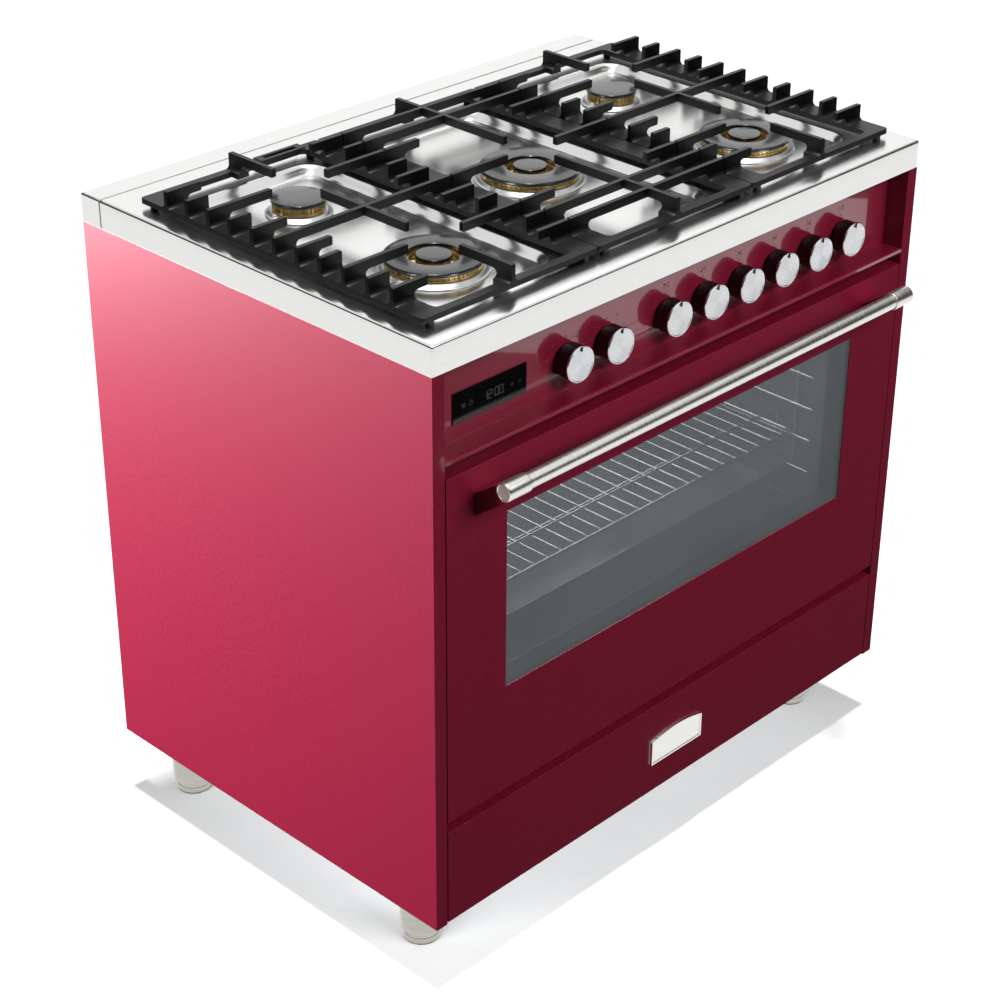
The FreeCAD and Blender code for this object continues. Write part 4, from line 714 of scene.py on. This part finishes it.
shown.append(strip((x, 0), (x, clock["longHand"]), clock["dialLine"]))
shown.append(strip((x, 0), (x + clock["shortHand"], 0), clock["dialLine"]))
for x in (clock["plusX"], clock["minusX"]):
    shown.append(strip((x - half, 0), (x + half, 0), clock["signLine"]))
shown.append(strip((clock["plusX"], -half), (clock["plusX"], half), clock["signLine"]))
printed("clockMarks", shown, clockMiddle, "body", materials["firedWhitePrint"])

# mm from the middle of each knob, and degrees; lit: which dot of the plan each gas tap feeds
mark = {
    "tickIn": 26.5, "tickOut": 29.5, "tickLine": 1.0,
    "signs": 8, "signTurn": 40, "signRadius": 32, "signHalf": 2.6, "signLine": 0.45,
    "barHalf": 1.6, "barRise": 1.4, "fanRadius": 1.0, "fanLine": 0.4,
    "heats": ("50", "75", "100", "125", "150", "175", "200", "225", "250"), "heatTurn": 36, "heatIn": 26,
    "heatOut": 28, "heatLine": 0.5, "numberRadius": 33, "numberSize": 4.2, "numberRaise": 0.06,
    "plan": ((-3.4, 2.2), (3.4, 2.2), (0, 0), (-3.4, -2.2), (3.4, -2.2)), "planRise": 37, "planDot": 1.5,
    "planRing": 1.1, "planLine": 0.4, "lit": (0, 3, 2, 2, 4, 1),
    "sweepRadius": 30, "sweepFrom": 200, "sweepTo": 245, "sweepLine": 0.8,
    "sweepHead": ((2.6, -2.4), (-1.6, -3.2))}


def onCircle(x, z, radius, degrees):
    angle = math.radians(degrees)
    return x + radius * math.cos(angle), z + radius * math.sin(angle)


def ovenSigns(x, z):
    # oven modes: small framed signs round the dial, with bars and a fan inside them
    made = []
    half, line, bar, rise = mark["signHalf"], mark["signLine"], mark["barHalf"], mark["barRise"]
    for step in range(mark["signs"]):
        cx, cz = onCircle(x, z, mark["signRadius"], 90 - mark["signTurn"] * (step + 1))
        corners = [(cx - half, cz - half), (cx + half, cz - half), (cx + half, cz + half),
                   (cx - half, cz + half)]
        made += [strip(a, b, line) for a, b in zip(corners, corners[1:] + corners[:1])]
        if step % 2:
            made.append(strip((cx - bar, cz + rise), (cx + bar, cz + rise), line))
        if step % 3 != 1:
            made.append(strip((cx - bar, cz - rise), (cx + bar, cz - rise), line))
        if step > 3:
            made += arcStrips(cx, cz, mark["fanRadius"], 0, 360, mark["fanLine"], 8)
    return made


def heatTicks(x, z):
    made = []
    for step in range(len(mark["heats"])):
        degrees = 90 - mark["heatTurn"] * (step + 1)
        made.append(strip(onCircle(x, z, mark["heatIn"], degrees), onCircle(x, z, mark["heatOut"], degrees),
                          mark["heatLine"]))
    return made


def burnerPlan(x, z, lit):
    # which burner the tap feeds: a plan of the hob with one filled dot
    made = []
    for number, (dx, dz) in enumerate(mark["plan"]):
        spot = (x + dx, z + mark["planRise"] + dz)
        if number == lit:
            made.append(discOutline(*spot, mark["planDot"], 14))
        else:
            made += arcStrips(*spot, mark["planRing"], 0, 360, mark["planLine"], 10)
    return made


def sweepArrow(x, z):
    # which way the taps open: an arc with an arrow head
    end = onCircle(x, z, mark["sweepRadius"], mark["sweepFrom"])
    made = arcStrips(x, z, mark["sweepRadius"], mark["sweepFrom"], mark["sweepTo"], mark["sweepLine"])
    for dx, dz in mark["sweepHead"]:
        made.append(strip(end, (end[0] + dx, end[1] + dz), mark["sweepLine"]))
    return made


knobSpots = []
for node in knobNodes:
    low, high = span(node)
    knobSpots.append(((low[0] + high[0]) / 2 / mm, (low[2] + high[2]) / 2 / mm))
marks = []
for index, (x, z) in enumerate(knobSpots):
    marks.append(strip((x, z + mark["tickIn"]), (x, z + mark["tickOut"]), mark["tickLine"]))
    if index == 0:
        marks += ovenSigns(x, z)
    elif index == 1:
        marks += heatTicks(x, z)
    else:
        marks += burnerPlan(x, z, mark["lit"][index - 2])
    if index == 2:
        marks += sweepArrow(x, z)
printed("panelMarks", marks, (0, panelFace, 0), "body", materials["firedWhitePrint"])


def dialNumbers(x, z):
    # heat scale round the second dial: flat text made into meshes and set round the circle
    for step, text in enumerate(mark["heats"]):
        curve = bpy.data.curves.new("heat" + text, "FONT")
        curve.body, curve.size = text, mark["numberSize"] * mm
        curve.align_x, curve.align_y = "CENTER", "CENTER"
        flat = bpy.data.objects.new("heat" + text, curve)
        mesh = bpy.data.meshes.new_from_object(flat)
        count = len(mesh.vertices)
        co = np.zeros(count * 3)
        mesh.vertices.foreach_get("co", co)
        co = co.reshape(-1, 3)
        cx, cz = onCircle(x * mm, z * mm, mark["numberRadius"] * mm, 90 - mark["heatTurn"] * (step + 1))
        y = panelFace - mark["numberRaise"] * mm
        place = np.stack([co[:, 0] + cx, np.full(count, y), co[:, 1] + cz], 1)
        mesh.vertices.foreach_set("co", place.ravel())
        piece = bpy.data.objects.new("heat_" + text, mesh)
        bpy.context.scene.collection.objects.link(piece)
        mesh.materials.clear()
        mesh.materials.append(materials["firedWhitePrint"])
        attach(piece, "body")
        bpy.data.objects.remove(flat)


dialNumbers(*knobSpots[1])
print("printed marks made")

# mm; overlap: how far the bar runs into each ferrule
handle = {"bar": 10.0, "ferrule": 12.0, "ferruleLength": 36.0, "endRecess": 0.8, "overlap": 2, "stations": 40}


def makeHandle():
    # a straight bar along x between two stepped ferrules
    low, high = span("door_handle")
    centre = (0, (low[1] + high[1]) / 2, (low[2] + high[2]) / 2)
    reach = high[0] / mm
    bar, ferrule, count = handle["bar"], handle["ferrule"], handle["stations"]
    inside = reach - handle["ferruleLength"]
    end = inside + handle["overlap"]
    middle = np.stack([np.full(count, bar), np.linspace(-end, end, count)], 1)
    parts = [turned(np.concatenate([[(0, -end)], middle, [(0, end)]]) * mm, centre, "x", 64)]
    tip = reach - handle["endRecess"]
    for side in (-1, 1):
        corners = [(bar - 1, inside, 0), (ferrule - 0.2, inside, 0.6), (ferrule, inside + 1.4, 0.5),
                   (ferrule, reach - 1.6, 0.8), (ferrule - 1.2, reach, 0.6), (ferrule - 2.6, reach, 0.4),
                   (ferrule - 3.0, tip, 0.2), (0, tip, 0)]
        profile = np.concatenate([[(0, inside + 1)], rounded(corners)])
        profile[:, 1] *= side
        parts.append(turned(profile * mm, centre, "x", 72))
    makePiece("handleBar", parts, "door", materials["satinTube"], ["door_handle"], sharp=35)


makeHandle()

# mm; the tube widens to its collar, and the foot slides in its bore
leg = {"top": 31.0, "collar": 14.0, "bottom": 28.0, "bore": 24.8, "boreDepth": 22, "footRadius": 24.3,
       "footRise": 40}


def makeLegs():
    low, high = span("leg_tubes")
    footZ = span("levelling_feet")[0][2]
    top, bottom, foot, bore = leg["top"], leg["bottom"], leg["footRadius"], leg["bore"]
    rise = (frameTop - low[2]) / mm
    collar = rise - leg["collar"]
    tube = [(bore, leg["boreDepth"], 0), (bore, 0, 0.2), (bottom - 1.4, 0, 1.0), (bottom - 0.2, 1.6, 0.8),
            (bottom + 1.6, collar - 1.4, 0.4), (bottom + 1.0, collar - 0.6, 0.2), (bottom + 1.2, collar, 0.2),
            (top - 0.8, collar + 1.2, 0.8), (top, rise, 0), (0, rise, 0)]
    plug = [(0, 0, 0), (foot - 1.2, 0, 0.4), (foot, 1.4, 0.6), (foot, 10.0, 0.2), (foot - 0.6, 10.4, 0.1),
            (foot - 0.6, 11.2, 0.1), (foot, 11.6, 0.2), (foot, leg["footRise"], 0.4), (0, leg["footRise"], 0)]
    tubes, feet = [], []
    for x in (low[0] + top * mm, high[0] - top * mm):
        for y in (low[1] + top * mm, high[1] - top * mm):
            tubes.append(turned(rounded(tube) * mm, (x, y, low[2]), count=72))
            feet.append(turned(rounded(plug) * mm, (x, y, footZ), count=72))
    makePiece("legs", tubes, "body", materials["satinNickel"], ["leg_tubes"], sharp=35)
    makePiece("legFeet", feet, "feet", materials["satinNickel"], ["levelling_feet"], sharp=35)


frameTop = span("side_panel_left")[0][2] + hob["sheet"] * mm
makeLegs()
print("handle and legs made")

screw = {"radius": 4.0, "rise": 2.2, "inset": 14.0, "flange": 12.0, "count": 6}  # mm


def rearScrews():
    # domed heads down both sides of the back panel
    low, high = span("back_panel")
    inset, side = screw["inset"] * mm, screw["flange"] * mm
    head = [(0, screw["rise"] * 0.8, 0), (screw["radius"] * 0.5, screw["rise"], 0.3),
            (screw["radius"], 0.8, 0.8), (screw["radius"], 0, 0), (0, 0, 0)]
    parts = []
    for z in np.linspace(low[2] + inset, high[2] - inset, screw["count"]):
        for x in (low[0] + inset + side, high[0] - inset - side):
            parts.append(turned(rounded(head) * mm, (x, high[1], z), "y", 20))
    makePiece("rearScrews", parts, "body", materials["zincSheet"], sharp=40)


rearScrews()

# world: brightness of the air; floorSun: the light from above, which also keeps the floor white; each lamp:
# what it lights, place, what it points at, width and height in metres, and how bright its face is
studio = {
    "floorHalf": 25.0, "world": 0.03, "floorSun": 3.55, "floorSunSpread": 6.0,
    "cameraPlace": (-2.0212, -1.91225, 1.9855), "clipEnd": 60, "yaw": 0.829, "pitch": 0.501, "roll": 0.021,
    "lens": 83.86, "shift": (-0.060, -0.026),
    "lamps": {
        "leftKey": ("paint", (-1.75, 1.0, 1.75), (-0.45, 0.1, 0.6), (1.2, 1.2), 24.0),
        "leftCard": ("paint", (-1.55, 1.9, 0.68), (-0.45, 0.3, 0.6), (1.1, 0.75), 47.0),
        "frontCard": ("fascia", (1.0, -1.02, 0.28), (0.2, -0.34, 0.8), (1.5, 0.3), 1.4),
        "rearWall": ("all", (3.4, 3.6, 2.7), (0.0, 0.0, 0.9), (5.0, 3.2), 1.15),
        "frontTop": ("metal", (0.6, -2.6, 2.6), (0.0, -0.3, 0.7), (2.4, 1.2), 1.4),
        "ovenGlow": ("all", (0.0, 0.0, 0.655), (0.0, 0.02, 0.3), (0.6, 0.3), 5.0),
        "skyGlow": ("metal", (0.0, 0.0, 3.5), (0.0, 0.0, 0.0), (7.0, 7.0), 0.95),
        "floorGlow": ("metal", (0.0, 0.0, 0.002), (0.0, 0.0, 1.0), (9.0, 9.0), 1.1),
        "frontSoft": ("paint", (0.5, -3.2, 2.8), (0.0, -0.3, 0.5), (2.0, 1.5), 12.0),
        "leftFill": ("floor", (-3.2, -0.4, 0.9), (-0.4, 0.0, 0.0), (3.0, 1.2), 16.0),
        "frontFill": ("floor", (0.6, -3.4, 0.9), (0.1, -0.3, 0.0), (3.0, 1.2), 16.0)},
    "paint": {"glossBurgundyEnamel", "greyDoorGlass"},
    "metal": {"brushedStainless", "satinTube", "satinNickel", "zincSheet", "spunAluminium", "turnedBrass",
              "dieCastAluminium"}}


def makeFloor():
    # flat grid on the ground plane, left out of reflections and bounces, so the lamps alone shape the range
    half = studio["floorHalf"]
    x, y = np.meshgrid(np.linspace(-half, half, 3), np.linspace(-half, half, 3), indexing="ij")
    points, quads, uv = sheetOf(np.stack([x, y, np.zeros_like(x)], -1))
    mesh = bpy.data.meshes.new("floor")
    mesh.from_pydata(points, [], quads[:, ::-1])
    floor = bpy.data.objects.new("floor", mesh)
    floor.visible_glossy = False
    floor.visible_diffuse = False
    bpy.context.scene.collection.objects.link(floor)
    mesh.materials.append(makeFinish("paleStudioFloor", {
        "colours": ("#f4f4f4", "#f6f6f6"), "rough": (0.85, 0.9), "size": (80, 80, 80), "bump": 0.01}))


def aimed(name, light, place, target):
    # a light at place whose face points at target
    lamp = bpy.data.objects.new(name, light)
    bpy.context.scene.collection.objects.link(lamp)
    back = np.array(place, float) - np.array(target, float)
    back /= np.linalg.norm(back)
    side = np.cross((0, 1, 0) if abs(back[2]) > 0.99 else (0, 0, 1), back)
    side /= np.linalg.norm(side)
    turn = np.eye(4)
    turn[:3, 0], turn[:3, 1], turn[:3, 2], turn[:3, 3] = side, np.cross(back, side), back, place
    lamp.matrix_world = Matrix(turn.tolist())
    lamp.visible_camera = False
    return lamp


def areaLamp(name, place, target, size, bright, pieces):
    # an area lamp that lights only the given pieces; its power is brightness times pi times area
    light = bpy.data.lights.new(name, "AREA")
    light.shape = "RECTANGLE"
    light.size, light.size_y = size
    light.energy = bright * math.pi * size[0] * size[1]
    aimed(name, light, place, target).light_linking.receiver_collection = pieces


def makeLights():
    # each lamp lights one group of pieces; the two fills light the floor alone, and the sun lights everything
    users = ("all", "paint", "metal", "fascia", "floor")
    groups = {who: bpy.data.collections.new(who + "Pieces") for who in users}
    for piece in bpy.context.scene.objects:
        if piece.type != "MESH":
            continue
        groups["floor" if piece.name == "floor" else "all"].objects.link(piece)
        finish = piece.material_slots[0].material.name if piece.material_slots else ""
        for who in ("paint", "metal"):
            if finish in studio[who]:
                groups[who].objects.link(piece)
    groups["fascia"].objects.link(nodes["control_panel"])
    for name, (who, place, target, size, bright) in studio["lamps"].items():
        areaLamp(name, place, target, size, bright, groups[who])
    sun = bpy.data.lights.new("floorSun", "SUN")
    sun.energy = studio["floorSun"]
    sun.angle = math.radians(studio["floorSunSpread"])
    aimed("floorSun", sun, (0, 0, 5), (0, 0, 0))


def makeCamera():
    # the view: yaw and pitch give where it looks, roll tips it about that line
    camera = bpy.data.cameras.new("camera")
    camera.lens = studio["lens"]
    camera.shift_x, camera.shift_y = studio["shift"]
    camera.clip_end = studio["clipEnd"]
    yaw, pitch, roll = studio["yaw"], studio["pitch"], studio["roll"]
    forward = np.array([math.sin(yaw) * math.cos(pitch), math.cos(yaw) * math.cos(pitch), -math.sin(pitch)])
    right = np.array([math.cos(yaw), -math.sin(yaw), 0])
    up = np.cross(right, forward)
    tiltedRight = right * math.cos(roll) + up * math.sin(roll)
    tiltedUp = up * math.cos(roll) - right * math.sin(roll)
    turn = np.eye(4)
    turn[:3, :3] = np.stack([tiltedRight, tiltedUp, -forward], 1)
    turn[:3, 3] = studio["cameraPlace"]
    seat = bpy.data.objects.new("camera", camera)
    bpy.context.scene.collection.objects.link(seat)
    seat.matrix_world = Matrix(turn.tolist())
    bpy.context.scene.camera = seat


makeFloor()
makeLights()
makeCamera()
world = bpy.data.worlds.new("studioAir")
world.use_nodes = True
world.node_tree.nodes["Background"].inputs["Color"].default_value = (1, 1, 1, 1)
world.node_tree.nodes["Background"].inputs["Strength"].default_value = studio["world"]
bpy.context.scene.world = world
bpy.context.scene.view_settings.view_transform = "Standard"
print("studio set")
